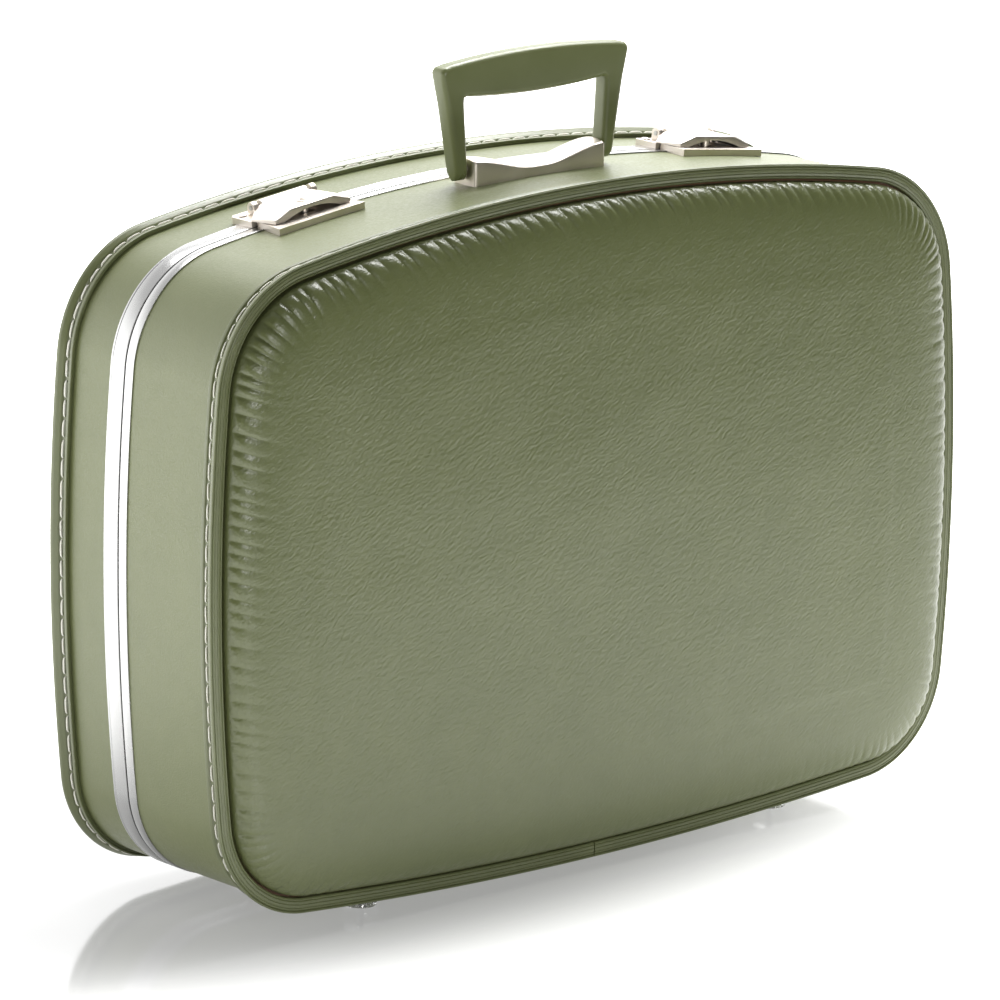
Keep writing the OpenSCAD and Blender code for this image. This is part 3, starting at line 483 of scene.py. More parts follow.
for (half, rim_y, inward), seed in zip(HALVES, (11, 12)):
    gather = random.Random(seed)
    pleats = [0.0]
    while pleats[-1] < rim_length + 0.05:
        pleats.append(pleats[-1] + PLEAT_PITCH * gather.uniform(0.72, 1.25))
    pleats = np.array(pleats) - 0.02
    cuts = np.array([gather.uniform(0.45, 1.2) for _ in pleats])
    reaches = np.array([gather.uniform(0.7, 1.35) for _ in pleats])
    low_end, high_end = arc_ends[2], arc_ends[3]
    pull_s = [0, 0.8 * arc_ends[1], arc_ends[1], arc_ends[2], low_end + 0.3 * (high_end - low_end),
              high_end - 0.3 * (high_end - low_end), high_end, arc_ends[4], arc_ends[5]]
    pull = [0.16, 0.2, 0.6, 0.5, 0.34, 0.7, 1.0, 1.0, 0.85]
    lean_s = [arc_ends[3], arc_ends[4], arc_ends[6] - 0.05, arc_ends[7], arc_ends[8]]
    lean = [0.0, -0.6, -0.6, 0.3, 0.3]

    def gathered(s, t):
        """How far the pleats push the vinyl out or in at these distances round and in from the rim."""
        s = np.mod(s, rim_length)
        strength = np.interp(np.minimum(s, rim_length - s), pull_s, pull)
        leaned = s - np.interp(s, lean_s, lean) * t
        k = np.clip(np.searchsorted(pleats, leaned) - 1, 0, len(pleats) - 2)
        out = np.zeros_like(s)
        for side in (k, k + 1):
            gone = np.abs(leaned - pleats[side])
            fade = np.exp(-(t / (PLEAT_REACH * reaches[side])) ** 2)
            out -= PLEAT_CUT * cuts[side] * fade * np.exp(-gone / 0.0008)
            out -= PLEAT_NOTCH * cuts[side] * np.exp(-(t / 0.0045) ** 2) * np.exp(-(gone / 0.0016) ** 2)
        x = (leaned - pleats[k]) / (pleats[k + 1] - pleats[k])
        out += PLEAT_BULGE * np.sin(math.pi * x) ** 2 * np.exp(-(t / PLEAT_REACH) ** 2)
        fine = np.sin(2 * math.pi * (leaned / 0.0027 + 0.4 * np.sin(leaned * 260)))
        out += PLEAT_FINE * fine * np.exp(-((t - 0.006) / 0.006) ** 2)
        fade_in = np.clip(t / 0.0012, 0.25, 1)
        return out * strength * fade_in

    def on_pad(marks, level):
        """The vinyl at t in from its root; a negative t is the part tucked down behind the binding."""
        if level < 0:
            spots = on_rim(marks, PAD_ROOT)
            return np.stack([spots.real, np.full(len(marks), rim_y - inward * level), spots.imag + MID_Z], -1)
        rise = PAD_RISE * share_risen(level)
        slope = PAD_RISE * (share_risen(level + 2e-4) - share_risen(max(level - 2e-4, 0))) / 4e-4
        up = 1 / math.hypot(1, slope)
        shift = gathered(marks, np.full(len(marks), level))
        spots = on_rim(marks, PAD_ROOT + level - np.maximum(shift * slope * up, -PLEAT_DRAW) * 0.6)
        rise = rise + shift * up + unevenness(spots.real, spots.imag, seed) * min(1, level / 0.01)
        return np.stack([spots.real, rim_y - inward * rise, spots.imag + MID_Z], -1)

    def on_field(place, middle):
        last = share_risen(0.048)
        rise = PAD_RISE * (last + (1 - last) * (1 - (1 - middle) ** 2))
        flat = place.reshape(-1, 3)
        hills = unevenness(flat[:, 0], flat[:, 2] - MID_Z, seed)
        return rim_y - inward * (rise + hills.reshape(middle.shape))

    verts, faces = [], []
    all_marks = corner_marks(4 * FIELD_WIDE, 4 * FIELD_TALL)
    close = [0, 0.05, 0.18, 0.4, 0.7, 1.1, 1.6, 2.2, 2.9, 3.7, 4.6, 5.6, 6.7, 7.9, 9.2, 10.6, 12.1,
             13.7, 15.4]
    levels = [(-PAD_BACK, 0), (-3 * MM, 0), (-1.5 * MM, 0)] + [(t * MM, 0) for t in close]
    levels += [(17.4 * MM, 1), (19.8 * MM, 0), (22.6 * MM, 0), (25.8 * MM, 0), (29.4 * MM, 1),
               (33.4 * MM, 0), (38 * MM, 0), (43 * MM, 0), (48 * MM, 0)]
    marks, ring = add_rings(verts, faces, all_marks, levels, on_pad)
    add_field(verts, faces, ring, FIELD_WIDE, FIELD_TALL, on_field)

    def on_back(marks, level):
        spots = on_rim(marks, PAD_ROOT + level)
        return np.stack([spots.real, np.full(len(marks), rim_y + inward * PAD_BACK), spots.imag + MID_Z], -1)

    back_levels = [(1.5 * MM, 1), (5 * MM, 1), (12 * MM, 1), (24 * MM, 0), (40 * MM, 0), (48 * MM, 0)]
    marks, ring = add_rings(verts, faces, all_marks, back_levels, on_back, np.arange(len(all_marks)))
    add_field(verts, faces, ring, FIELD_WIDE // 2, FIELD_TALL // 2,
              lambda place, middle: rim_y + inward * PAD_BACK)
    pad = new_piece(half + "_padded_panel", verts, faces, crease=70)
    pad.data.materials.append(panel_vinyl)
    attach(pad, BODY[half])
    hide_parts(half + "_pad_cover", half + "_pad_foam")


# ---- handle ----
# One moulding of satin olive plastic: two flat legs that widen upwards into a crowned grip, with
# every edge rounded for the hand. It swings on two steel pins in the saddle.
handle_low, handle_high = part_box("handle_grip")
HANDLE_Y = (handle_low.y + handle_high.y) / 2
WALL_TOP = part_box("front_binding")[1].z - 4.5 * MM
PIN_Z = WALL_TOP + 7.5 * MM
GRIP_WIDE, FOOT_WIDE, GRIP_TALL, GRIP_ARCH = 64.5, 54.5, 56.0, 4.0
LEG_WIDE, END_TALL, GRIP_BELLY, GRIP_THICK = 8.0, 17.0, 2.5, 11.0
GRIP_CORNER, INNER_CORNER, GRIP_EASE = 3.5, 2.6, 3.0
finish, tree, body, place = bare_finish("satin_plastic", 0.34)
orange = wire(tree, "TexNoise", {"Vector": place, "Scale": 700.0, "Detail": 2.0})
relief(tree, body, orange.outputs["Fac"], 0.5, 0.00004)
worn = wire(tree, "TexNoise", {"Vector": place, "Scale": 45.0, "Detail": 5.0, "Roughness": 0.65})
uneven_gloss(tree, body, worn.outputs["Fac"], (0.27, 0.42), 0.3, 0.7)
two_tones(tree, body, worn.outputs["Fac"], (0.146, 0.166, 0.068), (0.176, 0.196, 0.084))
satin_plastic = finish

inner_foot = FOOT_WIDE - LEG_WIDE
inner_top = inner_foot + 2.5
under = GRIP_TALL - END_TALL


def bow(x, half, rise):
    """Height of a shallow arc of this half width and rise, at x."""
    return rise * (1 - (x / half) ** 2)


pairs = []
foot_levels = np.array([-5.5, -5.2, -4.6, -3.6, -2.2, -0.6, 1.5, 5, 10, 16, 22, 28, 33, 36])
for z in foot_levels:
    t = z / GRIP_TALL
    pairs.append((complex(FOOT_WIDE + (GRIP_WIDE - FOOT_WIDE) * t, z),
                  complex(inner_foot + 2.5 * z / under, z), z))
for t in (0.0, 0.12, 0.25, 0.38, 0.5, 0.62, 0.75, 0.88, 1.0):
    # round the outer corner while the inner one barely moves
    swing = math.pi / 2 * t
    outer = (complex(GRIP_WIDE - GRIP_CORNER, GRIP_TALL - GRIP_CORNER)
             + GRIP_CORNER * cmath.exp(1j * swing))
    if t == 0.0:
        outer = complex(GRIP_WIDE - 0.6, GRIP_TALL - 6)
    inner = complex(inner_top - 0.2, under - 0.6) + complex(-2.2 * t, 0.9 * t ** 2)
    pairs.append((outer, inner, 0))
for x in np.linspace(58, 0, 18):
    pairs.append((complex(x, GRIP_TALL + bow(x, GRIP_WIDE, GRIP_ARCH)),
                  complex(min(x, inner_top - INNER_CORNER),
                          under - bow(min(x, inner_top), inner_top, GRIP_BELLY)), 0))
pairs += [(complex(-o.real, o.imag), complex(-i.real, i.imag), z) for o, i, z in reversed(pairs[:-1])]
round_spots = []
for side_a, side_b in ((1, 1), (-1, 1), (-1, -1), (1, -1)):
    for t in (np.linspace(0, math.pi / 2, 7) if side_a * side_b > 0 else np.linspace(math.pi / 2, 0, 7)):
        round_spots.append((side_a, side_b, math.cos(t), math.sin(t)))
verts = []
for outer, inner, z in pairs:
    middle, arm = (outer + inner) / 2, (outer - inner) / 2
    span = abs(arm)
    thick = GRIP_THICK / 2
    if z < 0:
        thick = math.sqrt(max(thick ** 2 - z ** 2, 0.05))
    ease = min(GRIP_EASE, span * 0.75, thick * 0.75)
    for side_a, side_b, c, s in round_spots:
        a = side_a * (span - ease + ease * c)
        b = side_b * (thick - ease + ease * s)
        spot = middle + arm / span * a
        verts.append((spot.real * MM, HANDLE_Y + b * MM, PIN_Z + spot.imag * MM))
grip = new_piece("moulded_handle", verts, skin(len(pairs), len(round_spots)), crease=60)
grip.data.materials.append(satin_plastic)
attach(grip, "handle")
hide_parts("handle_grip")


# ---- handle saddle ----
# A warm nickel-plated casting, low at its waist and high where it holds the pins, crowned from
# front to back. Two screws hold it from inside the case.
SADDLE_HALF, SADDLE_DEEP, SADDLE_TALL, SADDLE_WAIST, SADDLE_CROWN = 45.0, 17.0, 12.0, 5.0, 1.5
SADDLE_ROOT, SADDLE_END = -6.0, 0.965


def plated(name, dark, light, rough, scratch):
    """Nickel plate gone warm with age: faint cloudiness and fine scratches."""
    finish, tree, body, place = bare_finish(name, rough[0], Metallic=1.0)
    cloud = wire(tree, "TexNoise", {"Vector": place, "Scale": 70.0, "Detail": 5.0, "Roughness": 0.6})
    stretch = wire(tree, "Mapping", {"Vector": place, "Rotation": (0.3, 0.2, 0.5), "Scale": (40, 900, 600)})
    lines = wire(tree, "TexNoise", {"Vector": stretch.outputs[0], "Scale": 1.0, "Detail": 2.0})
    relief(tree, body, lines.outputs["Fac"], 0.2, scratch)
    uneven_gloss(tree, body, cloud.outputs["Fac"], rough, 0.3, 0.7)
    two_tones(tree, body, cloud.outputs["Fac"], dark, light)
    return finish


nickel = plated("warm_nickel", (0.66, 0.60, 0.53), (0.78, 0.72, 0.65), (0.36, 0.48), 0.000012)
verts = []
steps_x = np.concatenate([
    [-1, -0.996, -0.985, -SADDLE_END], np.linspace(-0.93, 0.93, 41), [SADDLE_END, 0.985, 0.996, 1]])
for x in steps_x:
    climb = min(1, max(0, (abs(x) - 0.1) / 0.9))
    edge = SADDLE_WAIST + (SADDLE_TALL - SADDLE_WAIST) * climb * climb * (3 - 2 * climb)
    end = 0.7 * (1 - math.sqrt(max(0, 1 - (max(0, abs(x) - SADDLE_END) / 0.035) ** 2)))
    deep = SADDLE_DEEP / 2 - end
    edge -= end
    section = [(-deep, SADDLE_ROOT), (-deep, edge - 0.7), (-deep + 0.08, edge - 0.35),
               (-deep + 0.3, edge - 0.1)]
    section += [(y, edge + bow(y, SADDLE_DEEP / 2, SADDLE_CROWN))
                for y in np.linspace(-deep + 0.7, deep - 0.7, 13)]
    section += [(-y, h) for y, h in reversed(section[:4])]
    verts += [(x * SADDLE_HALF * MM, HANDLE_Y + y * MM, WALL_TOP + h * MM) for y, h in section]
saddle = new_piece("cast_saddle", verts, skin(len(steps_x), len(section)), crease=40)
saddle.data.materials.append(nickel)
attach(saddle, "front_half")
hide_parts("handle_saddle")


# ---- hasps ----
# The lever of each latch, die cast and nickel plated: a flat top with an engraved border, two
# sloping wings, an arch in front for the finger, and a bored knuckle behind for its pin.
LATCH_X, LATCH_HALF, PART_Y = 139.0, 28.5, 14.5
LATCH_R = CROWN_R - 0.0045
LATCH_TILT = math.asin(LATCH_X * MM / LATCH_R)
HASP_TOP, HASP_LOW, HASP_THIN = 9.4, 3.6, 2.2
HASP_FRONT, HASP_EASE = PART_Y - 15.5, 0.8
KNUCKLE_Y, KNUCKLE_H, KNUCKLE_R, KNUCKLE_HALF, PIN_BORE_R = PART_Y + 9.5, 7.4, 3.0, 15.5, 1.32
FLAT_HALF, HOLLOW_HALF, PLUG_Y, PLUG_R = 14.3, 18.5, PART_Y - 7.2, 3.2
BORDER_U, BORDER_FRONT, BORDER_BACK = FLAT_HALF - 1.5, HASP_FRONT + 2.3, KNUCKLE_Y - 6.4
BORDER_SIDES = (-0.3, -0.2, 0.2, 0.3)
AXIS_R = 0.001


def on_latch(side, u, y, h):
    """A place on a latch: u along the crown, y in depth and h above the vinyl, all in millimetres."""
    c, d = math.cos(LATCH_TILT), side * math.sin(LATCH_TILT)
    r = LATCH_R + h * MM
    return (u * MM * c + r * d, y * MM, MID_Z + CROWN_UP - CROWN_R - u * MM * d + r * c)


def lathe(profile, steps, spot):
    """Turns a closed (radius, height) profile; spot gives the place for (x, y, height)."""
    verts = []
    for k in range(steps):
        a = 2 * math.pi * k / steps
        verts += [spot(r * math.cos(a), r * math.sin(a), h) for r, h in profile]
    return verts, skin(steps, len(profile), looped=True)


def cut_out(piece, cutter):
    """Takes cutter away from piece."""
    tool = piece.modifiers.new("cut", "BOOLEAN")
    tool.solver = "EXACT"
    tool.object = cutter
    graph = bpy.context.evaluated_depsgraph_get()
    cut = bpy.data.meshes.new_from_object(piece.evaluated_get(graph))
    piece.modifiers.clear()
    piece.data = cut
    bpy.data.objects.remove(cutter)


def wing_half(y):
    """Half the hasp's width at this depth: widest behind its middle, drawn in towards the knuckle."""
    return float(np.interp(y, [HASP_FRONT, KNUCKLE_Y - 9, KNUCKLE_Y - 3.6], [25.0, LATCH_HALF, 21.5]))


def hasp_height(u, y):
    """Height of the hasp's upper face: flat, then falling along the wings, with its border engraved."""
    away = max(0, abs(u) - FLAT_HALF)
    h = HASP_TOP - away * (HASP_TOP - HASP_LOW - 1.0) / (LATCH_HALF - FLAT_HALF) - 0.035 * min(away, 8)
    from_border = max(abs(u) - BORDER_U, BORDER_FRONT - y, y - BORDER_BACK)
    if abs(from_border) < 0.21:
        h -= 0.3
    return h


def hasp_under(u):
    """Height of the hasp's underside: the finger's arch, and flat under the tips of the wings."""
    if abs(u) >= HOLLOW_HALF:
        return HASP_LOW
    return HASP_LOW + (HASP_TOP - HASP_THIN - HASP_LOW) * (1 - (u / HOLLOW_HALF) ** 2)


LATCHES = ((-1, "left"), (1, "right"))
half_u = [0, 3, 6, 9, 11.5] + [BORDER_U + d for d in BORDER_SIDES]
half_u += [FLAT_HALF - 0.3, FLAT_HALF, FLAT_HALF + 0.4]
last = KNUCKLE_Y - KNUCKLE_R + 0.6
lines = [HASP_FRONT, HASP_FRONT + 0.12, HASP_FRONT + 0.35, HASP_FRONT + HASP_EASE]
lines += [edge + d for edge in (BORDER_FRONT, BORDER_BACK) for d in BORDER_SIDES]
lines += [HASP_FRONT + 6, HASP_FRONT + 10, KNUCKLE_Y - 9, last - 0.8, last]
lines.sort()
for side, word in LATCHES:
    verts = []
    for y in lines:
        wide = wing_half(y)
        us = half_u + [half_u[-1] + (wide - half_u[-1]) * t for t in (0.15, 0.3, 0.5, 0.7, 0.85, 0.96, 1)]
        us = [-u for u in reversed(us[1:])] + us
        ease = max(0.0, HASP_EASE - (y - HASP_FRONT)) / HASP_EASE
        drop = 0.9 * (1 - math.sqrt(1 - ease ** 2))
        tip_drop = [0.25 if abs(u) > wide - 0.01 else 0 for u in us]
        upper = [(u, max(hasp_under(u) + 0.5, hasp_height(u, y) - drop - tip))
                 for u, tip in zip(us, tip_drop)]
        under = [(u, hasp_under(u)) for u in reversed(us)]
        verts += [on_latch(side, u, y, h) for u, h in upper + under]
    m, n = 2 * len(us), len(lines)
    faces = [(k * m + j, k * m + (j + 1) % m, (k + 1) * m + (j + 1) % m, (k + 1) * m + j)
             for k in range(n - 1) for j in range(m)]
    half_m = m // 2
    for k in (0, n - 1):
        faces += [(k * m + j, k * m + j + 1, k * m + m - 2 - j, k * m + m - 1 - j) for j in range(half_m - 1)]
    hasp = new_piece("hasp_lever_" + word, verts, faces, crease=28)
    drilled = [(AXIS_R, 0), (PLUG_R + 0.1, 0), (PLUG_R + 0.1, 20), (AXIS_R, 20)]
    hole, hole_faces = lathe(drilled, 40, lambda x, y, h: on_latch(side, x, PLUG_Y + y, h))
    cut_out(hasp, new_piece("plug_hole", hole, hole_faces))
    bored = [(PIN_BORE_R, -KNUCKLE_HALF), (KNUCKLE_R - 0.3, -KNUCKLE_HALF), (KNUCKLE_R, 0.3 - KNUCKLE_HALF),
             (KNUCKLE_R, KNUCKLE_HALF - 0.3), (KNUCKLE_R - 0.3, KNUCKLE_HALF), (PIN_BORE_R, KNUCKLE_HALF)]
    verts, faces = lathe(bored, 40, lambda x, y, h: on_latch(side, h, KNUCKLE_Y + x, KNUCKLE_H + y))
    knuckle = new_piece("hasp_knuckle_" + word, verts, faces, crease=40)
    for piece in (hasp, knuckle):
        piece.data.materials.clear()
        piece.data.materials.append(nickel)
        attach(piece, "hasp_" + word)
    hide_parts("hasp_" + word)


# ---- lock plugs ----
# A turned brass plug, nickel plated, in each hasp: a low flange round a keyhole above, and the cam
# that catches under the latch plate below.
FLANGE_R, KEYHOLE_R, KEYHOLE_UP = 3.75, 1.1, 0.75
SLOT_HALF, SLOT_LOW = 0.55, -1.9
CAM_HALF, CAM_LONG, CAM_LOW, CAM_HIGH = 2, 6.3, 1.05, 1.95
lock_metal = plated("lock_metal", (0.60, 0.55, 0.48), (0.74, 0.68, 0.60), (0.30, 0.42), 0.00001)


def slab(name, outline, low, high, spot):
    """A flat piece of this outline between two heights on a latch."""
    verts = [spot(x, y, h) for h in (low, high) for x, y in outline]
    return new_piece(name, verts, skin(2, len(outline)))


for side, word in LATCHES:
    spot = lambda x, y, h: on_latch(side, x, PLUG_Y + y, h)
    profile = [(AXIS_R, 1.0), (PLUG_R - 0.1, 1.0), (PLUG_R - 0.1, HASP_TOP + 0.02),
               (FLANGE_R, HASP_TOP + 0.02), (FLANGE_R, HASP_TOP + 0.2), (3.5, HASP_TOP + 0.36),
               (2.7, HASP_TOP + 0.3), (2.5, HASP_TOP + 0.12), (AXIS_R, HASP_TOP + 0.12)]
    verts, faces = lathe(profile, 48, spot)
    plug = new_piece("lock_plug_turned_" + word, verts, faces, crease=30)
    keyhole = [(KEYHOLE_R * math.cos(a), KEYHOLE_UP + KEYHOLE_R * math.sin(a))
               for a in np.linspace(-0.33 * math.pi, 1.33 * math.pi, 18)]
    keyhole += [(-SLOT_HALF, SLOT_LOW), (SLOT_HALF, SLOT_LOW)]
    cut_out(plug, slab("keyhole", keyhole, HASP_TOP - 2.5, HASP_TOP + 1, spot))
    blade = [(-CAM_HALF, 0), (CAM_HALF, 0), (CAM_HALF, CAM_LONG - 0.7), (CAM_HALF - 0.7, CAM_LONG),
             (0.7 - CAM_HALF, CAM_LONG), (-CAM_HALF, CAM_LONG - 0.7)]
    cam = slab("lock_cam_" + word, blade, CAM_LOW, CAM_HIGH, spot)
    for piece in (plug, cam):
        piece.data.materials.clear()
        piece.data.materials.append(lock_metal)
        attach(piece, "lock_" + word)
    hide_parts("lock_plug_" + word)


# ---- handle pins ----
# Two plain steel pins, each driven through a leg of the handle into the saddle. Their ends lie just
# inside the legs.
PIN_FROM, PIN_TO, PIN_R, PIN_EASE = 40.0, 53.8, 2.0, 0.3
steel = plated("plain_steel", (0.42, 0.41, 0.40), (0.58, 0.57, 0.55), (0.28, 0.45), 0.00002)
profile = [(AXIS_R, PIN_FROM), (PIN_R - PIN_EASE, PIN_FROM), (PIN_R, PIN_FROM + PIN_EASE),
           (PIN_R, PIN_TO - PIN_EASE), (PIN_R - PIN_EASE, PIN_TO), (AXIS_R, PIN_TO)]
verts, faces = [], []
for side in (-1, 1):
    more, more_faces = lathe(profile, 32, lambda x, y, h: (side * h * MM, HANDLE_Y + x * MM, PIN_Z + y * MM))
    faces += [[len(verts) + k for k in face] for face in more_faces]
    verts += more
pins = new_piece("handle_pin_pair", verts, faces)
pins.data.materials.append(steel)
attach(pins, "front_half")
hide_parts("handle_pins")


# ---- pressed and turned metal parts ----
# Latch plates, rivets, hasp pins, springs, screws, nails and hinges, pressed or turned and nickel
# plated. Their shapes are the model's own; here their edges are eased as tumbling leaves them.
EASED_EDGES = (
    (nickel, 0.45, ("latch_plate_left", "latch_plate_right")),
    (nickel, 0.40, ("hasp_plate_left", "hasp_plate_right")),
    (nickel, 0.20, ("hinge_leaves_front", "hinge_leaves_lid")),
    (nickel, 0.15, ("latch_plate_rivets", "hasp_plate_rivets", "hinge_rivets_front", "hinge_rivets_lid")),
    (steel, 0.15, ("handle_screws",)),
    (steel, 0.10, ("hasp_pin_left", "hasp_pin_right", "hasp_spring_left", "hasp_spring_right",
                   "hinge_pins", "front_foot_nails", "lid_foot_nails")))
for metal, ease, nodes in EASED_EDGES:
    for node in nodes:
        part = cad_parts[node]
        part.material_slots[0].material = metal
        bevel = part.modifiers.new("eased", "BEVEL")
        bevel.width = ease * MM
        bevel.segments = 2
        bevel.limit_method = "ANGLE"
        bevel.angle_limit = math.radians(40)
        bevel.harden_normals = True


# ---- feet ----
# Clear plastic buttons, turned like a lens with a rolled lip, and nailed through the base into the
# ply hoop.
finish, tree, body, place = bare_finish(
    "clear_plastic", 0.08, Transmission_Weight=0.92, IOR=1.49, Base_Color=(0.94, 0.95, 0.93, 1))
scuffs = wire(tree, "TexNoise", {"Vector": place, "Scale": 900.0, "Detail": 3.0})
relief(tree, body, scuffs.outputs["Fac"], 0.3, 0.00003)
uneven_gloss(tree, body, scuffs.outputs["Fac"], (0.03, 0.16))
for node in ("front_feet", "lid_feet"):
    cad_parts[node].material_slots[0].material = finish


# ---- ply hoops and hardboard panels ----
# The bent birch ply hoop and the brown hardboard panel of each half, all but hidden by the vinyl
# outside and the lining inside.
def wood(name, dark, light, rings):
    """Wood grain between two colours, drawn out by rings along each axis."""
    finish, tree, body, place = bare_finish(name, 0.6)
    run = wire(tree, "Mapping", {"Vector": place, "Scale": rings})
    grain = wire(tree, "TexNoise", {
        "Vector": run.outputs[0], "Scale": 20.0, "Detail": 6.0, "Roughness": 0.6})
    two_tones(tree, body, grain.outputs["Fac"], dark, light)
    relief(tree, body, grain.outputs["Fac"], 0.3, 0.0002)
    return finish


birch = wood("birch_ply", (0.42, 0.28, 0.15), (0.62, 0.45, 0.27), (1, 30, 1))
brown_board = wood("brown_hardboard", (0.13, 0.07, 0.035), (0.20, 0.11, 0.06), (6, 6, 6))
for half in ("front", "lid"):
    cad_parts[half + "_hoop"].material_slots[0].material = birch
    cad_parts[half + "_board"].material_slots[0].material = brown_board


# ---- lining ----
# Woven beige rayon pasted round the walls and over the panel inside each half, with its edge tucked
# behind the lip of the aluminium strip.
LINING_IN, LINING_BACK, LINING_TURN = 11.5 * MM, 8.8 * MM, 3 * MM
LINING_RIPPLE, LINING_THICK, THREADS_PER_M = 0.25 * MM, 0.7 * MM, 380.0
finish, tree, body, place = bare_finish("lining_cloth", 0.62, Sheen_Weight=0.4, Sheen_Roughness=0.4)
warp, weft = [wire(tree, "TexWave", {"Vector": place, "Scale": THREADS_PER_M, "Distortion": 0.4},
                   bands_direction=way) for way in "XZ"]
weave = wire(tree, "Math", {0: warp.outputs["Fac"], 1: weft.outputs["Fac"]}, operation="MAXIMUM")
relief(tree, body, weave.outputs[0], 0.5, 0.0002)
slub = wire(tree, "TexNoise", {"Vector": place, "Scale": 120.0, "Detail": 5.0, "Roughness": 0.7})
mixed = wire(tree, "Math", {0: slub.outputs["Fac"], 1: weave.outputs[0]}, operation="MULTIPLY")
two_tones(tree, body, mixed.outputs[0], (0.40, 0.33, 0.20), (0.66, 0.58, 0.41))
lining_cloth = finish
LINING_WIDE, LINING_TALL = 96, 64
for half, rim_y, inward in HALVES:
    mouth = (HALF_DEPTH[half] - PART_GAP / 2 - 6.2) * MM

    def on_lining(marks, level):
        """The lining at a level's inset and depth, with the slight ripples of pasted cloth."""
        inset, depth = level
        ripple = np.array([LINING_RIPPLE * noise.noise((s * 30, depth * 60, 8.0)) for s in marks])
        spots = on_rim(marks, inset + ripple)
        return np.stack([spots.real, np.full(len(marks), rim_y + inward * depth), spots.imag + MID_Z], -1)

    def on_panel(place, middle):
        """The depth of the lining over the panel, with low swells away from its edge."""
        swells = 0.3 * MM * np.sin(place[..., 0] * 40) * np.sin(place[..., 2] * 33)
        return rim_y + inward * (LINING_BACK + swells * np.minimum(middle * 4, 1))

    turn = [(LINING_IN + LINING_TURN * (1 - math.cos(a)), LINING_BACK + LINING_TURN * (1 - math.sin(a)))
            for a in np.linspace(0, math.pi / 2, 6)]
    levels = [((LINING_IN, d), 0) for d in np.linspace(mouth, LINING_BACK + 4 * MM, 9)]
    levels += [(level, 0) for level in turn]
    levels += [((i * MM, LINING_BACK), 0) for i in (20, 30, 42, 56)]
    verts, faces = [], []
    marks, ring = add_rings(verts, faces, corner_marks(LINING_WIDE, LINING_TALL), levels, on_lining)
    add_field(verts, faces, ring, LINING_WIDE, LINING_TALL, on_panel)
    cloth = new_piece(half + "_cloth_lining", verts, faces, crease=70)
    thickness = cloth.modifiers.new("thickness", "SOLIDIFY")
    thickness.thickness = LINING_THICK
    thickness.offset = 1
    cloth.data.materials.append(lining_cloth)
    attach(cloth, BODY[half])
    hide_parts(half + "_lining")
    deep = mouth - LINING_BACK


# ---- lid pocket ----
# A gathered pocket of the same cloth across the lid's lining: its mouth runs on elastic, and its
# sides and base are pasted and tacked behind the lining.
pocket_low, pocket_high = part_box("lid_pocket")
POCKET_CUT_WIDE, POCKET_CUT_TALL, POCKET_THICK = 0.520, 0.185, 0.5 * MM
POCKET_SLACK, POCKET_LIP, CUFF_AT = 0.005, 0.0035, 0.955
FOLDS = 31
fold_hand = random.Random(5)
fold_edges = np.cumsum([0] + [fold_hand.uniform(0.7, 1.3) for _ in range(FOLDS)])
fold_edges /= fold_edges[-1]
fold_depth = np.array([fold_hand.uniform(0.6, 1.1) for _ in range(FOLDS)])
across, up = 372, 46
verts = []
back_y = pocket_high.y - 0.2 * MM
for j in range(up + 1):
    v = j / up
    for i in range(across + 1):
        u = i / across
        k = min(int(np.searchsorted(fold_edges, u, side="right")) - 1, FOLDS - 1)
        x = (u - fold_edges[k]) / (fold_edges[k + 1] - fold_edges[k])
        wave = math.sin(math.pi * x) ** 2 * fold_depth[k]
        near_side = min(1.0, min(u, 1 - u) / 0.03)
        deep = 0.9 * MM + near_side * (
            (1.6 * math.sin(math.pi * min(v * 1.05, 1)) + (0.5 + 3.2 * v ** 2) * wave) * MM)
        cuff = 1 - min(1, abs(v - CUFF_AT) / 0.035)
        deep -= 1.1 * MM * cuff * near_side * wave
        lip = POCKET_LIP * math.sin(math.pi * u) + 0.0009 * wave * v
        verts.append((pocket_low.x + u * (pocket_high.x - pocket_low.x), back_y - deep,
                      pocket_low.z + v * (pocket_high.z - pocket_low.z - POCKET_SLACK) + v * lip))
row = across + 1
faces = [(j * row + i, j * row + i + 1, (j + 1) * row + i + 1, (j + 1) * row + i)
         for j in range(up) for i in range(across)]
pocket = new_piece("gathered_pocket", verts, faces, crease=80)
thickness = pocket.modifiers.new("thickness", "SOLIDIFY")
thickness.thickness = POCKET_THICK
thickness.offset = 0
pocket.data.materials.append(lining_cloth)
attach(pocket, "lid")
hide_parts("lid_pocket")


# ---- floor and lights ----
# A plain white studio: a glossy white table that runs back into a bright backdrop, a dim room past
# its front edge, a soft bank overhead, one high behind on the right and a weak one in front.
BRIGHT_BACKDROP, DULL_CEILING, DIM_ROOM = 2.9, 1.0, 0.04
world = bpy.data.worlds.new("studio")
bpy.context.scene.world = world
world.use_nodes = True
tree = world.node_tree
toward = wire(tree, "TexCoord").outputs["Generated"]
toward = wire(tree, "SeparateXYZ", {"Vector": toward})
level = wire(tree, "MapRange", {
    "Value": toward.outputs["Z"], "From Min": 0.15, "From Max": 0.65,
    "To Min": BRIGHT_BACKDROP, "To Max": DULL_CEILING})
glow = wire(tree, "MapRange", {
    "Value": toward.outputs["Y"], "From Min": -0.10, "From Max": 0.40,
    "To Min": DIM_ROOM, "To Max": level.outputs[0]})
seen = wire(tree, "LightPath").outputs["Is Camera Ray"]
strength = wire(tree, "Math", {0: glow.outputs[0], 1: seen}, operation="MAXIMUM")
tree.nodes["Background"].inputs["Color"].default_value = (1, 1, 1, 1)
tree.links.new(strength.outputs[0], tree.nodes["Background"].inputs["Strength"])
bpy.context.scene.view_settings.view_transform = "Standard"

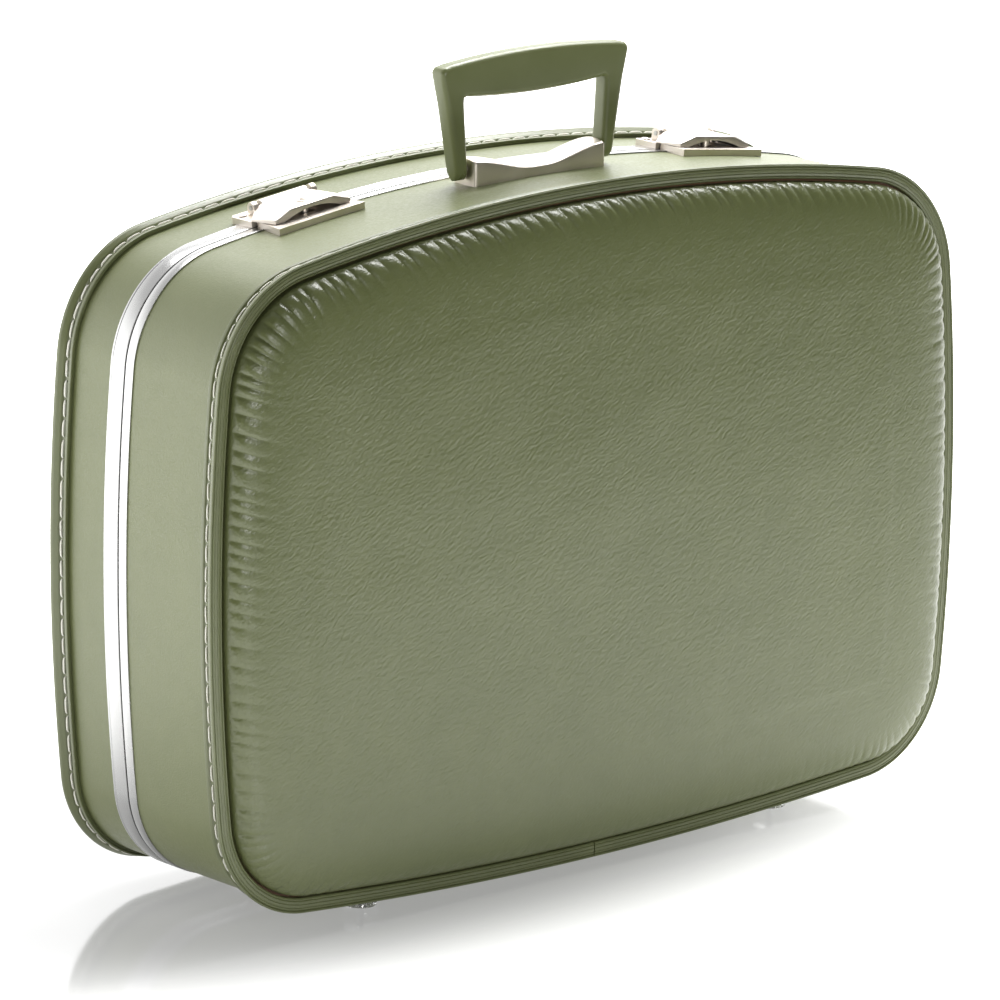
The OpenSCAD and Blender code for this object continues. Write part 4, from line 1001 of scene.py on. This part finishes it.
# the table glows with painted light, more the further it lies from the case and most towards the backdrop;
# close round the case its glow drops and its colour darkens in a painted shadow, centred a little left of the
# middle and just behind the case; its polish shows only near the case
GLOW_NEAR, GLOW_FAR, TABLE_FRONT, TABLE_SIDE = 0.27, 1.2, -0.75, 8
floor_mesh = bpy.data.meshes.new("floor")
corners = [(-TABLE_SIDE, TABLE_FRONT, 0), (TABLE_SIDE, TABLE_FRONT, 0),
           (TABLE_SIDE, TABLE_SIDE, 0), (-TABLE_SIDE, TABLE_SIDE, 0)]
floor_mesh.from_pydata(corners, [], [(0, 1, 2, 3)])
floor = bpy.data.objects.new("floor", floor_mesh)
bpy.context.scene.collection.objects.link(floor)
finish, tree, body, place = bare_finish("white_table", 0.10, Emission_Color=(1, 1, 1, 1))
narrowed = wire(tree, "Mapping", {"Vector": place, "Location": (0.055, -0.08, 0), "Scale": (0.55, 1, 1)})
out = wire(tree, "VectorMath", {0: narrowed.outputs[0]}, operation="LENGTH")
# painted light and shade: the table's glow, lowest close round the case
glow = wire(tree, "MapRange", {
    "Value": out.outputs["Value"], "From Min": 0.15, "From Max": 0.34,
    "To Min": GLOW_NEAR, "To Max": GLOW_FAR},
    interpolation_type="SMOOTHSTEP")
# painted shadow: the table's colour darkens close round the case
shade = wire(tree, "MapRange", {
    "Value": out.outputs["Value"], "From Min": 0.12, "From Max": 0.26, "To Min": 0.32, "To Max": 0.90},
    interpolation_type="SMOOTHSTEP")
tree.links.new(shade.outputs[0], body.inputs["Base Color"])
mirror = wire(tree, "MapRange", {
    "Value": out.outputs["Value"], "From Min": 0.16, "From Max": 0.27, "To Min": 0.5, "To Max": 0.10})
tree.links.new(mirror.outputs[0], body.inputs["Specular IOR Level"])
back = wire(tree, "SeparateXYZ", {"Vector": place}).outputs["Y"]
share = wire(tree, "MapRange", {
    "Value": back, "From Min": TABLE_FRONT, "From Max": 1.2, "To Min": 0.78, "To Max": 1.6})
power = wire(tree, "Math", {0: glow.outputs[0], 1: share.outputs[0]}, operation="MULTIPLY")
tree.links.new(power.outputs[0], body.inputs["Emission Strength"])
floor.data.materials.append(finish)


def soft_box(name, spot, aim, wide, tall, power):
    """A rectangular bank light that faces aim."""
    lamp = bpy.data.objects.new(name, bpy.data.lights.new(name, "AREA"))
    lamp.data.shape = "RECTANGLE"
    lamp.data.size, lamp.data.size_y = wide, tall
    lamp.data.energy = power
    lamp.location = spot
    lamp.rotation_mode = "QUATERNION"
    lamp.rotation_quaternion = (Vector(aim) - Vector(spot)).to_track_quat("-Z", "Y")
    bpy.context.scene.collection.objects.link(lamp)
    return lamp


soft_box("overhead", (0.70, 0.20, 1.35), (0, 0, 0.3), 0.9, 0.5, 21)
soft_box("high_back", (0.5, 0.8, 1.9), (0, 0, 0.3), 1.4, 0.9, 22)
soft_box("front_fill", (-0.6, -3.0, 0.9), (0, 0, 0.2), 1.2, 0.8, 30)
